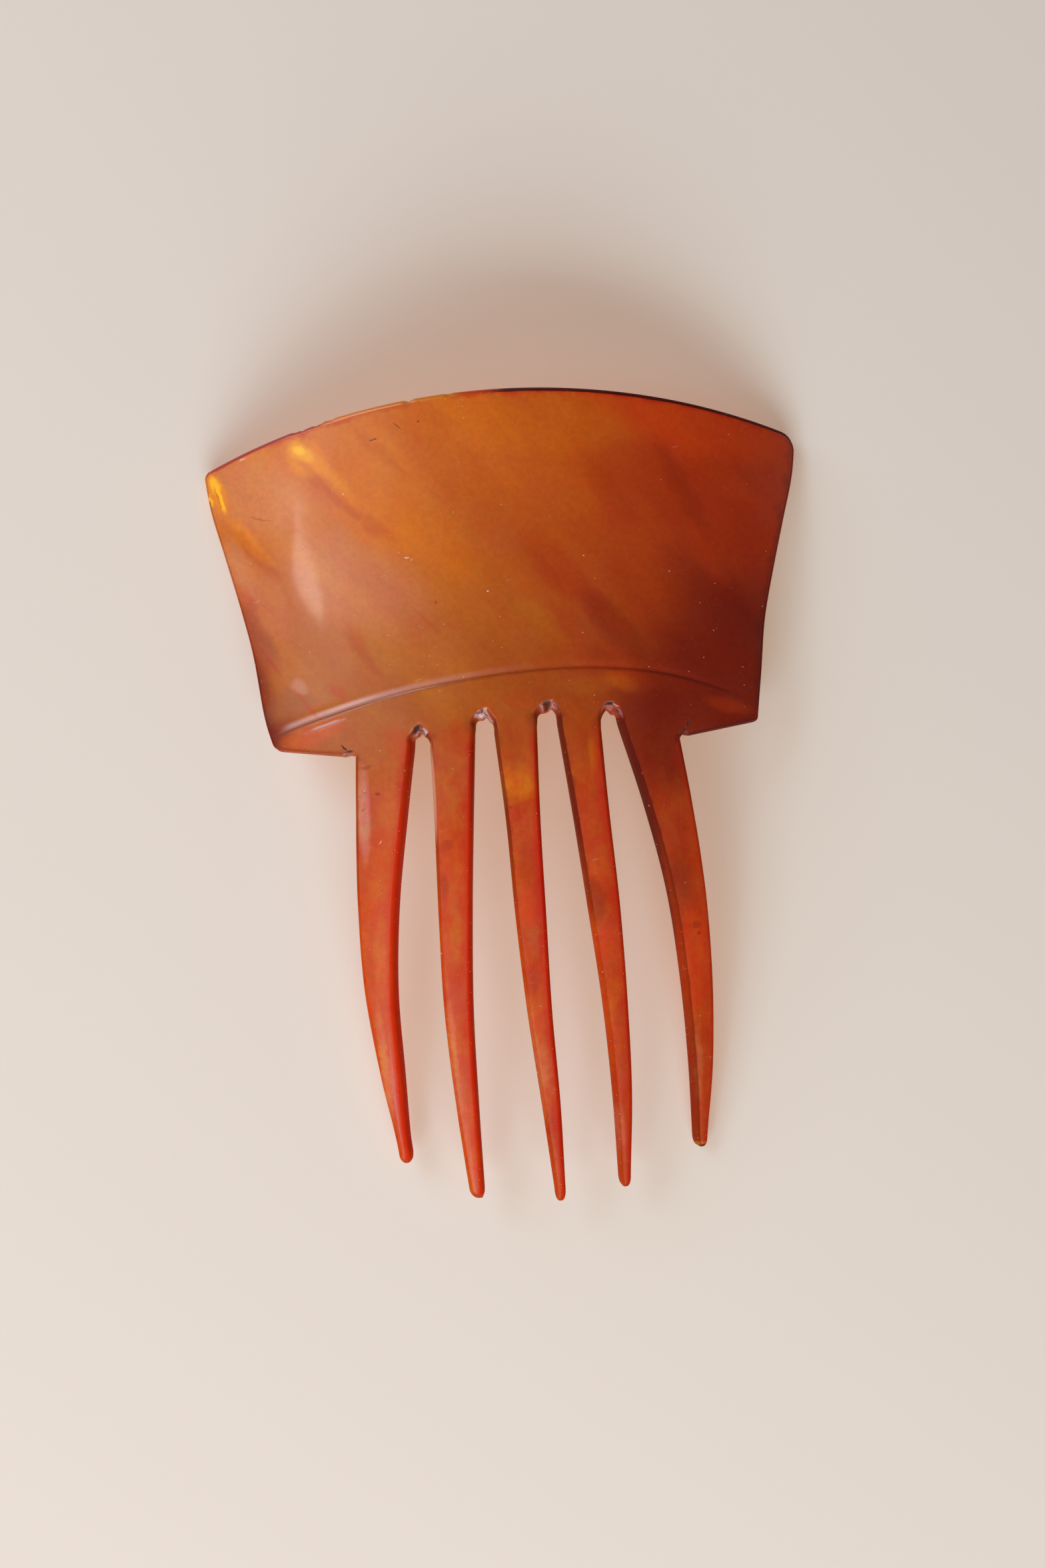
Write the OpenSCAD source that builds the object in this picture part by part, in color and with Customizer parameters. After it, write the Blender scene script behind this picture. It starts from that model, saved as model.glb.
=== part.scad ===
// Mantilla comb cut from one sheet of blonde horn: a flared, bowed heading plate with a line
// scored across its foot, and five long tapering teeth.
// X runs across the comb, Y from the tooth tips to the crown, Z up. Sizes are in millimetres.
// Every outline is drawn flat, measured from the tooth line, and then lifted onto the bow.
// The comb lies on its hollow side, with the middle of its footprint at the origin.

/* [Heading plate] */
// Height of the crown above the tooth line
crown_height = 53.8; // [50:0.5:60]
// Radius of the arched top edge
crown_radius = 130; // [120:1:170]
// Reach of the upper left corner from the middle line
left_corner = 47; // [44:0.2:52]
// Reach of the upper right corner from the middle line
right_corner = 46.6; // [44:0.2:52]
// Reach of the left shoulder
left_shoulder = 38.6; // [37:0.1:41]
// Reach of the right shoulder
right_shoulder = 37.3; // [36:0.1:40]
// Rise of each shoulder from the outer tooth to the side
shoulder_rise = 1.9; // [1:0.1:2.2]
// Rounding of the upper left corner
left_corner_round = 1.2; // [0.9:0.1:2.4]
// Rounding of the upper right corner
right_corner_round = 2.6; // [0.9:0.1:2.8]
// Rounding of the shoulder corners
shoulder_round = 1.5; // [0.9:0.1:1.6]

/* [Bow] */
// Radius of the bow across the plate at the crown
bow_radius = 72; // [60:1:120]
// Radius of the gentler bow from the crown to the tips
profile_radius = 620; // [560:10:1500]

/* [Thickness] */
// Thickness at the crown
crown_thickness = 2.3; // [2:0.1:3.5]
// Thickness where the teeth leave the plate
root_thickness = 3.4; // [2.8:0.1:4.5]
// Thickness near the tooth tips
tip_thickness = 2; // [1.8:0.1:2.6]
// Rounding along the edges of the front
front_round = 0.7; // [0.4:0.05:0.8]
// Rounding along the edges of the back
back_round = 0.5; // [0.3:0.05:0.6]

/* [Scored line] */
// Depth of the line
score_depth = 0.4; // [0.1:0.05:0.6]
// Width of the line, from its crisp lower lip to the end of its hollow
score_width = 2; // [1.2:0.1:2.4]

/* [Teeth] */
// Length of the longest tooth below the tooth line
tooth_length = 73.2; // [64:0.2:80]
// Height of the bevel over each slot end
slot_bevel = 1.8; // [1:0.1:2.2]
// How much a tooth's front falls off towards its edges, as a share of half its thickness
tooth_crowning = 0.2; // [0:0.05:0.3]

/* [Hidden] */

// Side of the plate: share of the corner height, share of the flare reached there
flare_rows = [
  [0, 0],
  [0.18, 0.12],
  [0.36, 0.24],
  [0.53, 0.44],
  [0.71, 0.68],
  [0.87, 0.9],
  [1, 1]
];

// Scored line: distance from the middle line, height above the tooth line
score_rows = [
  [-41, 1.7],
  [-30, 4.9],
  [-19, 7.6],
  [-8, 9.3],
  [4, 10.2],
  [14, 9.9],
  [23, 8.5],
  [31, 5.9],
  [39, 2.6]
];

// Sections of each tooth from left to right: share of its length, middle line, width
tooth_rows = [
  [
    [0, -20.3, 9],
    [0.2, -22, 7.5],
    [0.4, -23.45, 6],
    [0.6, -23.95, 4.75],
    [0.8, -23.05, 3.4],
    [0.98, -21.9, 1.8]
  ],
  [
    [0, -10, 6.9],
    [0.2, -10.7, 5.8],
    [0.4, -11.45, 5.05],
    [0.6, -11.9, 4.35],
    [0.8, -11.55, 3.4],
    [0.98, -10.95, 2.3]
  ],
  [
    [0, -0.35, 6.7],
    [0.2, 0, 5.3],
    [0.4, 0.25, 4.75],
    [0.6, 0.7, 3.85],
    [0.8, 1.6, 2.9],
    [0.98, 2.15, 1.7]
  ],
  [
    [0, 9.4, 6.5],
    [0.2, 10.55, 5.45],
    [0.4, 11.7, 4.8],
    [0.6, 12.55, 3.75],
    [0.8, 12.85, 2.9],
    [0.98, 12.45, 1.75]
  ],
  [
    [0, 19.8, 8.8],
    [0.2, 22.65, 7],
    [0.4, 24.8, 5.55],
    [0.6, 25.7, 4.6],
    [0.8, 25.7, 3.45],
    [0.98, 24.9, 1.85]
  ]
];

// Length of each tooth as a share of the longest
tooth_share = [0.902, 0.985, 1, 0.98, 0.909];
// Height above the tooth line at which each slot starts to round off
slot_spring = [-0.1, 1.7, 2.3, 1.5];
// Height above the tooth line at which the tooth tables start
table_top = 2.5;

// Points across one tooth, in half widths from its middle line
tooth_steps = [-1, -0.72, -0.38, 0, 0.38, 0.72, 1];
// Turns around a slot end between its two springing points
slot_turns = [150, 120, 90, 60, 30];
// Steps across a shoulder, in millimetres from the side and then as shares of its width
shoulder_near = [0, 0.9, 1.8];
shoulder_far = [0.35, 0.6, 0.82];
// Rows down a tooth as shares of its length, and turns around its rounded tip
tooth_downs = [0.05, 0.12, 0.2, 0.3, 0.4, 0.5, 0.6, 0.7, 0.8, 0.9, 0.98];
tip_turns = [30, 58];
// Rows up the plate: foot to score, across the score, score to crown, then millimetres under the crown
rows_low = [0, 0.5];
rows_score = [0, 0.14, 0.45, 1];
rows_high = [0.14, 0.32, 0.52, 0.74];
rows_crown = [1.8, 0.9, 0];

// Depth of the score at each row across it, as a share of its full depth
score_profile = [0, 1, 0.45, 0];

last_tooth = len(tooth_rows) - 1;
score_top = max([for (r = score_rows) r[1]]);
last_share = tooth_downs[len(tooth_downs) - 1];
last_turn = tip_turns[len(tip_turns) - 1];

// Slope of one column of a table at row i, taken through the rows beside it
function slope(rows, c, i) =
  let (
    a = max(i - 1, 0),
    b = min(i + 1, len(rows) - 1)
  )
  (rows[b][c] - rows[a][c]) / (rows[b][0] - rows[a][0]);

// Row of a table below which t lies
function stretch(rows, t, i = 0) =
  i >= len(rows) - 2 || t < rows[i + 1][0] ? i : stretch(rows, t, i + 1);

// Smooth reading of column c of a table at t, carried straight on past its ends
function reading(rows, c, t) =
  let (
    i = stretch(rows, t),
    h = rows[i + 1][0] - rows[i][0],
    u = min(max((t - rows[i][0]) / h, 0), 1),
    past = t - rows[i][0] - u * h,
    m0 = slope(rows, c, i),
    m1 = slope(rows, c, i + 1),
    step = u * u * (3 - 2 * u)
  )
  rows[i][c] * (1 - step) + rows[i + 1][c] * step
    + u * (1 - u) * (m0 * (1 - u) - m1 * u) * h
    + past * (past < 0 ? m0 : m1);

// Height of the upper corners, where the arch meets the plate's sides
corner_height = crown_height - crown_radius + sqrt(crown_radius ^ 2 - left_corner ^ 2);

// X of each side at height y
function flare(y) = reading(flare_rows, 1, y / corner_height);
function left_side(y) = -left_shoulder - (left_corner - left_shoulder) * flare(y);
function right_side(y) = right_shoulder + (right_corner - right_shoulder) * flare(y);

// Height of the crown's arch and of the score over a point x
function arch(x) = crown_height - crown_radius + sqrt(crown_radius ^ 2 - x ^ 2);
function score(x) = reading(score_rows, 1, x);

// Length, middle line and width of tooth k at height y
function tooth_reach(k) = tooth_length * tooth_share[k];
function tooth_at(k, y) = (table_top - y) / (table_top + tooth_reach(k));
function tooth_middle(k, y) = reading(tooth_rows[k], 1, tooth_at(k, y));
function tooth_width(k, y) = reading(tooth_rows[k], 2, tooth_at(k, y));
function tooth_down(k, share) = table_top - share * (table_top + tooth_reach(k));

// Edge rounding that a stretch of this width can take
function edge(width) = min(front_round, 0.3 * width);

// Height of the underside of a shoulder at its inner end
shoulder_low = -1.6;

// Heights of a tooth's root at its left and right edges
function root_left(k) = k == 0 ? shoulder_low + front_round : slot_spring[k - 1];
function root_right(k) = k == last_tooth ? shoulder_low + front_round : slot_spring[k];

// Point at share s, from -1 to 1, across tooth k at height y, on the flat of its front
function tooth_point(k, s, y) =
  let (w = tooth_width(k, y))
  [tooth_middle(k, y) + s * (w / 2 - edge(w)), y];

// Root point of tooth k at share s
function root_point(k, s) =
  tooth_point(k, s, root_left(k) + (root_right(k) - root_left(k)) * (s + 1) / 2);

// Two ends of slot k, as drawn through the sheet
function slot_left(k) = tooth_middle(k, slot_spring[k]) + tooth_width(k, slot_spring[k]) / 2;
function slot_right(k) =
  tooth_middle(k + 1, slot_spring[k]) - tooth_width(k + 1, slot_spring[k]) / 2;

// Width of the bevel around a slot end at turn a, across and along the comb
function slot_lip(a) = [-front_round * cos(a), -slot_bevel * sin(a)];

// Point on the upper rim of slot k's end at turn a
function slot_point(k, a) =
  let (half = (slot_right(k) - slot_left(k)) / 2)
  [slot_left(k) + half + half * cos(a), slot_spring[k] + half * sin(a)] - slot_lip(a);

// Points along the foot of each shoulder, from the side inwards
function shoulder_points(side_x, inner_x) =
  let (
    wide = inner_x - side_x,
    way = wide > 0 ? 1 : -1,
    low = shoulder_low + front_round
  )
  [
    for (x = concat(
      [for (d = shoulder_near) side_x + way * d],
      [for (f = shoulder_far) side_x + f * wide]
    ))
      [x, low + shoulder_rise * (inner_x - x) / wide]
  ];

left_foot = shoulder_points(left_side(0.5) + front_round, root_point(0, -1).x);
right_foot = shoulder_points(right_side(0.5) - front_round, root_point(last_tooth, 1).x);

// Whole foot of the plate, from the left side to the right
foot = concat(
  left_foot,
  [
    for (k = [0:last_tooth])
      each concat(
        [for (s = tooth_steps) root_point(k, s)],
        k < last_tooth ? [for (a = slot_turns) slot_point(k, a)] : []
      )
  ],
  [for (i = [len(right_foot) - 1:-1:0]) right_foot[i]]
);
columns = len(foot);

// Share of the plate's width at which each column stands
function across(p) =
  let (
    a = left_side(p.y) + front_round,
    b = right_side(p.y) - front_round
  )
  (p.x - a) / (b - a);
shares = [for (p = foot) across(p)];

// X of a column at height y
function column_x(s, y) =
  let (
    a = left_side(y) + front_round,
    b = right_side(y) - front_round
  )
  a + s * (b - a);

// Height at which a column meets the score, and the rim of the crown
function score_meet(s, n = 6) = score(column_x(s, n == 0 ? score_top : score_meet(s, n - 1)));
function crown_meet(s, n = 6) =
  arch(column_x(s, n == 0 ? corner_height : crown_meet(s, n - 1))) - front_round;

// Heights of all rows of one column
function column_rows(i) =
  let (
    s = shares[i],
    low = foot[i].y,
    lip = score_meet(s),
    cove = lip + score_width,
    rim = crown_meet(s)
  )
  concat(
    [for (f = rows_low) low + f * (lip - low)],
    [for (f = rows_score) lip + f * score_width],
    [for (f = rows_high) cove + f * (rim - cove)],
    [for (d = rows_crown) rim - d]
  );
heights = [for (i = [0:columns - 1]) column_rows(i)];
rows = len(heights[0]);
first_score_row = len(rows_low);

// Pulls a point near a square corner onto a rounded one; way points out of the corner
function rounded(p, corner, radius, way) =
  let (
    r = max(radius - front_round, 0.2),
    centre = corner - way * r,
    d = [way.x * (p.x - centre.x), way.y * (p.y - centre.y)] / r
  )
  d.x > 0 && d.y > 0 ? centre + [way.x * d.x, way.y * d.y] * r * max(d.x, d.y) / norm(d) : p;

// Square corners of the flat front
function grid_point(i, j) = [column_x(shares[i], heights[i][j]), heights[i][j]];
upper_left = grid_point(0, rows - 1);
upper_right = grid_point(columns - 1, rows - 1);
lower_left = grid_point(0, 0);
lower_right = grid_point(columns - 1, 0);

// Plate point at column i and row j
function plate_point(i, j) =
  let (p = grid_point(i, j))
  p.y < score_top / 2
    ? rounded(rounded(p, lower_left, shoulder_round, [-1, -1]), lower_right, shoulder_round, [1, -1])
    : rounded(
        rounded(p, upper_left, left_corner_round, [-1, 1]),
        upper_right, right_corner_round, [1, 1]
      );

// Rows of tooth k below its root: down its length, then around its tip
function tooth_height(k, s, r) =
  let (
    root = root_point(k, s).y,
    last = tooth_down(k, last_share)
  )
  root + tooth_downs[r] / last_share * (last - root);
function tip_point(k, s, a) =
  let (
    y = tooth_down(k, last_share),
    w = tooth_width(k, y)
  )
  [
    tooth_middle(k, y) + s * (w / 2 - edge(w)) * cos(a),
    y - (y + tooth_reach(k) - edge(w)) * sin(a) / sin(last_turn)
  ];
function tooth_row_point(k, s, r) =
  r < len(tooth_downs)
    ? tooth_point(k, s, tooth_height(k, s, r))
    : tip_point(k, s, tip_turns[r - len(tooth_downs)]);

// Points in one row of a tooth, and rows in one tooth
wide = len(tooth_steps);
deep = len(tooth_downs) + len(tip_turns);

// Flat layout of the front: the plate row by row, then each tooth row by row
layout = concat(
  [for (j = [0:rows - 1]) for (i = [0:columns - 1]) plate_point(i, j)],
  [
    for (k = [0:last_tooth])
      for (r = [0:deep - 1])
        for (s = tooth_steps) tooth_row_point(k, s, r)
  ]
);
sheet = len(layout);

// Place of a point in the layout
function plate_id(i, j) = j * columns + i;
root_column = [for (k = [0:last_tooth]) len(left_foot) + k * (wide + len(slot_turns))];
function tooth_id(k, c, r) =
  r < 0
    ? plate_id(root_column[k] + c, 0)
    : rows * columns + (k * deep + r) * wide + c;

// Walk around the outline, clockwise from the upper left corner
function tooth_walk(k) = concat(
  [for (r = [-1:deep - 1]) tooth_id(k, wide - 1, r)],
  [for (c = [wide - 2:-1:1]) tooth_id(k, c, deep - 1)],
  [for (r = [deep - 1:-1:-1]) tooth_id(k, 0, r)]
);
function slot_walk(k) = [
  for (i = [len(slot_turns) - 1:-1:0]) plate_id(root_column[k] + wide + i, 0)
];
walk = concat(
  [for (i = [0:columns - 1]) plate_id(i, rows - 1)],
  [for (j = [rows - 2:-1:0]) plate_id(columns - 1, j)],
  [for (i = [columns - 2:-1:columns - len(right_foot)]) plate_id(i, 0)],
  [for (k = [last_tooth:-1:0]) each concat(tooth_walk(k), k > 0 ? slot_walk(k - 1) : [])],
  [for (i = [len(left_foot) - 1:-1:0]) plate_id(i, 0)],
  [for (j = [1:rows - 2]) plate_id(0, j)]
);
steps = len(walk);

// Turn of the slot end that a layout point stands on, or -1
slot_turn_of = [
  for (i = [0:columns - 1])
    let (
      k = floor((i - len(left_foot)) / (wide + len(slot_turns))),
      c = (i - len(left_foot)) - k * (wide + len(slot_turns)) - wide
    )
    k >= 0 && k < last_tooth && c >= 0 ? slot_turns[c] : -1
];

// Width of material that a walk point's rounding has to share: a tooth's own, or ample in the plate
function local_width(m) =
  let (
    id = walk[m] - rows * columns,
    k = floor(id / (deep * wide))
  )
  id < 0 ? crown_height : tooth_width(k, max(layout[walk[m]].y, tooth_down(k, last_share)));

// Unit vector pointing out of the material, square to a stretch of the walk
function outward(a, b) =
  let (d = layout[walk[b % steps]] - layout[walk[a % steps]])
  [-d.y, d.x] / norm(d);

// Way from the rim of the front to the outline at each walk point
function lip(m) =
  let (
    a = outward(m + steps - 1, m),
    b = outward(m, m + 1),
    turn = walk[m] < columns ? slot_turn_of[walk[m]] : -1
  )
  turn >= 0 ? slot_lip(turn) : edge(local_width(m)) * (a + b) / (1 + a * b);
lips = [for (m = [0:steps - 1]) lip(m)];

// How far a walk point belongs to a slot's bevel, from 0 to 1
bevels = [
  for (m = [0:steps - 1])
    let (turn = walk[m] < columns ? slot_turn_of[walk[m]] : -1)
    turn >= 0 ? sin(turn) : 0
];

// Thickness of the sheet at height y
thickness_rows = [
  [-tooth_length, tip_thickness],
  [-0.45 * tooth_length, (root_thickness + tip_thickness) / 2 + 0.1],
  [0, root_thickness],
  [crown_height, crown_thickness]
];
function thickness(y) = reading(thickness_rows, 1, y);

// Radius of the bow across the comb at height y
function bow(y) =
  bow_radius - profile_radius + sqrt(profile_radius ^ 2 - (y - crown_height) ^ 2);

// Lifts a flat point onto the bow, c above the middle of the sheet's thickness
function lifted(p, c) =
  let (
    r = bow(p.y),
    h = sqrt(r ^ 2 - p.x ^ 2),
    turn = (p.y - crown_height) / sqrt(profile_radius ^ 2 - (p.y - crown_height) ^ 2),
    n = [p.x / h, r * turn / h, 1]
  )
  [p.x, p.y, h - bow_radius] + n / norm(n) * c;

// How far the score fades out at its two ends
function fading(x) =
  let (
    a = (x - left_side(2)) / 6,
    b = (right_side(2) - x) / 9,
    u = min(max(min(a, b), 0), 1)
  )
  u * u * (3 - 2 * u);

// Level of the front and of the back over layout point q
function front_level(q) =
  let (
    p = layout[q],
    half = thickness(p.y) / 2,
    j = floor(q / columns) - first_score_row,
    c = (q - rows * columns) % wide,
    scored = q < rows * columns && j >= 0 && j < len(score_profile)
      ? score_depth * score_profile[j] * fading(p.x)
      : 0,
    eased = min(1, max(0, -p.y / 8)),
    crowned = q < rows * columns ? 0 : half * tooth_crowning * tooth_steps[c] ^ 2 * eased
  )
  half - scored - crowned;

// Rings of the edge wall, from the rim of the front to the rim of the back
function wall_ring(level) = [
  for (m = [0:steps - 1])
    let (
      q = walk[m],
      p = layout[q],
      o = lips[m],
      half = thickness(p.y) / 2,
      under = o / norm(o) * min(back_round, norm(o)),
      drop = min(front_round, norm(o)) + 0.5 * bevels[m],
      eased = 0.29 + 0.21 * bevels[m],
      top = front_level(q)
    )
    level == 0 ? lifted(p + o * (1 - eased), top - eased * drop)
      : level == 1 ? lifted(p + o, top - drop)
      : level == 2 ? lifted(p + o, -half + norm(under))
      : level == 3 ? lifted(p + o - 0.29 * under, -half + 0.29 * norm(under))
      : lifted(p + o - under, -half)
];

// Back of the sheet: inner points straight under the front, rim points from the last ring
back_rim = wall_ring(4);
function walk_place(q) = search(q, walk)[0];
back = [
  for (q = [0:sheet - 1])
    let (m = walk_place(q))
    is_undef(m) ? lifted(layout[q], -thickness(layout[q].y) / 2) : back_rim[m]
];
front = [for (q = [0:sheet - 1]) lifted(layout[q], front_level(q))];
raw = concat(front, back, wall_ring(0), wall_ring(1), wall_ring(2), wall_ring(3));

// Place of walk point m on ring n: rings 0 and 5 are the rims of the front and back
function ring_id(n, m) =
  let (w = m % steps)
  n == 0 ? walk[w]
    : n == 5 ? sheet + walk[w]
    : 2 * sheet + (n - 1) * steps + w;

// Two triangles over a four-sided cell, split along its shorter diagonal
function cell(a, b, c, d) =
  norm(raw[a] - raw[c]) <= norm(raw[b] - raw[d])
    ? [[a, b, c], [a, c, d]]
    : [[a, b, d], [b, c, d]];

front_cells = concat(
  [
    for (j = [0:rows - 2])
      for (i = [0:columns - 2])
        [plate_id(i, j), plate_id(i, j + 1), plate_id(i + 1, j + 1), plate_id(i + 1, j)]
  ],
  [
    for (k = [0:last_tooth])
      for (r = [0:deep - 1])
        for (c = [0:wide - 2])
          [tooth_id(k, c, r), tooth_id(k, c, r - 1), tooth_id(k, c + 1, r - 1), tooth_id(k, c + 1, r)]
  ]
);
faces = concat(
  [for (f = front_cells) each cell(f[0], f[1], f[2], f[3])],
  [for (f = front_cells) each cell(sheet + f[3], sheet + f[2], sheet + f[1], sheet + f[0])],
  [
    for (n = [0:4])
      for (m = [0:steps - 1])
        each cell(ring_id(n, m), ring_id(n + 1, m), ring_id(n + 1, m + 1), ring_id(n, m + 1))
  ]
);

// Lowest point of the raw comb within a window of the outline
function lowest(list) =
  let (z = min([for (p = list) p.z]))
  [for (p = list) if (p.z == z) p][0];
rest_left = lowest([for (p = raw) if (p.x < -left_shoulder / 2 && p.y > 0) p]);
rest_right = lowest([for (p = raw) if (p.x > right_shoulder / 2 && p.y > 0) p]);
rest_tip = lowest([for (p = raw) if (p.y < -tooth_length / 2) p]);

// Slight lean that brings both upper corners and the lowest tooth tip to the surface
lean_normal = cross(rest_right - rest_left, rest_tip - rest_left);
lean = [-lean_normal.x, -lean_normal.y] / lean_normal.z;
level_points = [
  for (p = raw) [p.x, p.y, p.z - rest_left.z - lean * [p.x - rest_left.x, p.y - rest_left.y]]
];

// Middle of the footprint and height of the lowest point
middle = [
  for (axis = [0:1])
    let (v = [for (p = level_points) p[axis]])
    (min(v) + max(v)) / 2
];
floor_height = min([for (p = level_points) p.z]);

module comb() {
  color("peru")
    polyhedron(
      points = [for (p = level_points) p - [middle.x, middle.y, floor_height]],
      faces = faces,
      convexity = 8
    );
}

comb();
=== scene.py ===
"""A mantilla comb cut from one sheet of blonde horn, dressed for a studio still.

The comb repeats the driving sizes of its CAD solid, in millimetres, and adds what hand work and
wear leave on the real piece: a crisp scored line, ragged slot ends, cracks, rim chips and a softly
wavy polish. Flat outlines are drawn from the tooth line, lifted onto the bow, and written out in
metres in the frame, where X runs across the comb, Y from the tooth tips to the crown and Z up.
"""

import logging
import math
from dataclasses import dataclass
from enum import Enum
from typing import NamedTuple

import bpy
import numpy as np
from mathutils import Matrix, Vector


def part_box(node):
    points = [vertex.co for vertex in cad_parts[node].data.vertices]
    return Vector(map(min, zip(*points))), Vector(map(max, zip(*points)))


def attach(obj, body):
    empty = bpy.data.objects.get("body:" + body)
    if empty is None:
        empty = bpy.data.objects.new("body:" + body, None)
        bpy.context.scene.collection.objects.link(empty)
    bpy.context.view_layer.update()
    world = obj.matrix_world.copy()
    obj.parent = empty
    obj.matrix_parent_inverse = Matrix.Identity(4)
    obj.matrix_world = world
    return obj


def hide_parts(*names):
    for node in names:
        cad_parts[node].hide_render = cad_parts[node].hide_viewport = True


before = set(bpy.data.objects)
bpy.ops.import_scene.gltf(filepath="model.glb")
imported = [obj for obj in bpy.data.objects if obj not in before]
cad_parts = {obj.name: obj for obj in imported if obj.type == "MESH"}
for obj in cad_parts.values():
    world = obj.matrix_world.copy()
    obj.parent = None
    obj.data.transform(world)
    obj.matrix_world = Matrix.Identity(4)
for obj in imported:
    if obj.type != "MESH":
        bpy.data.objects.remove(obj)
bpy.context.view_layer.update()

log = logging.getLogger("comb")

MM = 0.001
CROWN_HEIGHT = 53.8
LONGEST_TOOTH = 73.2
FRONT_ROUND = 0.7


def eased(share: np.ndarray) -> np.ndarray:
    """Eases a share from 0 to 1 so that it starts and ends flat."""
    u = np.clip(share, 0, 1)
    return u * u * (3 - 2 * u)


@dataclass(frozen=True)
class Curve:
    """A smooth line through a short table of stations, carried straight on past both ends."""

    stations: tuple[float, ...]
    values: tuple[float, ...]

    def __call__(self, where: np.ndarray) -> np.ndarray:
        """Reads the line.

        Args:
            where: Places along the stations.

        Returns:
            The value at each place.
        """
        t = np.asarray(where, float)
        x = np.array(self.stations)
        y = np.array(self.values)
        order = np.arange(len(x))
        before = np.maximum(order - 1, 0)
        after = np.minimum(order + 1, len(x) - 1)
        slopes = (y[after] - y[before]) / (x[after] - x[before])
        i = np.clip(np.searchsorted(x, t, side="right") - 1, 0, len(x) - 2)
        gap = x[i + 1] - x[i]
        u = np.clip((t - x[i]) / gap, 0, 1)
        past = t - x[i] - u * gap
        bend = u * (1 - u) * (slopes[i] * (1 - u) - slopes[i + 1] * u) * gap
        level = y[i] + (y[i + 1] - y[i]) * eased(u)
        return level + bend + past * np.where(past < 0, slopes[i], slopes[i + 1])


@dataclass(frozen=True)
class Ripple:
    """Soft waves that scraping and polishing by hand leave in a surface."""

    height: float
    length: float
    seed: int
    waves: int = 16

    def __call__(self, points: np.ndarray) -> np.ndarray:
        """Measures the waves.

        Args:
            points: Flat places in millimetres, one row each.

        Returns:
            The height of the surface over its smooth form, in millimetres.
        """
        draw = np.random.default_rng(self.seed)
        turn = draw.uniform(0, math.tau, self.waves)
        phase = draw.uniform(0, math.tau, self.waves)
        length = self.length * draw.uniform(0.7, 1.7, self.waves)
        along = points[:, :1] * np.cos(turn) + points[:, 1:2] * np.sin(turn)
        total = np.sin(math.tau * along / length + phase).sum(axis=1)
        return self.height * total / math.sqrt(self.waves / 2)


@dataclass(frozen=True)
class Bow:
    """The curved sheet that every flat outline is lifted onto."""

    crown_height: float = CROWN_HEIGHT
    radius: float = 72.0
    profile_radius: float = 620.0
    thickness: Curve = Curve(
        (-LONGEST_TOOTH, -0.45 * LONGEST_TOOTH, 0, CROWN_HEIGHT), (2.0, 2.8, 3.4, 2.3)
    )

    def lifted(self, points: np.ndarray, level: np.ndarray) -> np.ndarray:
        """Lifts flat points onto the bow.

        Args:
            points: Flat places, one row each.
            level: Height of each above the middle of the sheet's thickness.

        Returns:
            The places in space, one row each.
        """
        x, y = points[:, 0], points[:, 1]
        rise = y - self.crown_height
        drop = np.sqrt(self.profile_radius**2 - rise**2)
        r = self.radius - self.profile_radius + drop
        h = np.sqrt(r**2 - x**2)
        normal = np.stack([x / h, r * rise / drop / h, np.ones_like(x)], axis=1)
        normal /= np.linalg.norm(normal, axis=1, keepdims=True)
        return np.stack([x, y, h - self.radius], axis=1) + normal * np.asarray(level)[:, None]


@dataclass(frozen=True)
class HeadingPlate:
    """The flared heading plate: its arched crown, its two sides and its two shoulders."""

    crown_height: float = CROWN_HEIGHT
    crown_radius: float = 130.0
    left_corner: float = 47.0
    right_corner: float = 46.6
    left_shoulder: float = 38.6
    right_shoulder: float = 37.3
    shoulder_rise: float = 1.9
    shoulder_low: float = -1.6
    left_corner_round: float = 1.2
    right_corner_round: float = 2.6
    left_shoulder_round: float = 1.5
    right_shoulder_round: float = 0.9
    flare: Curve = Curve((0, 0.18, 0.36, 0.53, 0.71, 0.87, 1), (0, 0.12, 0.24, 0.44, 0.68, 0.9, 1))
    left_tuck: float = 0.9
    tuck_height: float = 7.5
    tuck_limit: float = 1.1

    @property
    def corner_height(self) -> float:
        """Height at which the crown meets the left side."""
        return float(self.arch(np.array(self.left_corner)))

    def arch(self, x: np.ndarray) -> np.ndarray:
        """Height of the crown over a place across the plate."""
        return self.crown_height - self.crown_radius + np.sqrt(self.crown_radius**2 - x**2)

    def sides(self, y: np.ndarray) -> tuple[np.ndarray, np.ndarray]:
        """Finds the plate's two sides.

        Args:
            y: Heights in millimetres.

        Returns:
            Places of the left and the right side at each height.
        """
        share = self.flare(y / self.corner_height)
        tuck = self.left_tuck * np.clip(1 - y / self.tuck_height, 0, self.tuck_limit) ** 2
        left = tuck - self.left_shoulder - (self.left_corner - self.left_shoulder) * share
        right = self.right_shoulder + (self.right_corner - self.right_shoulder) * share
        return left, right


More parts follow.
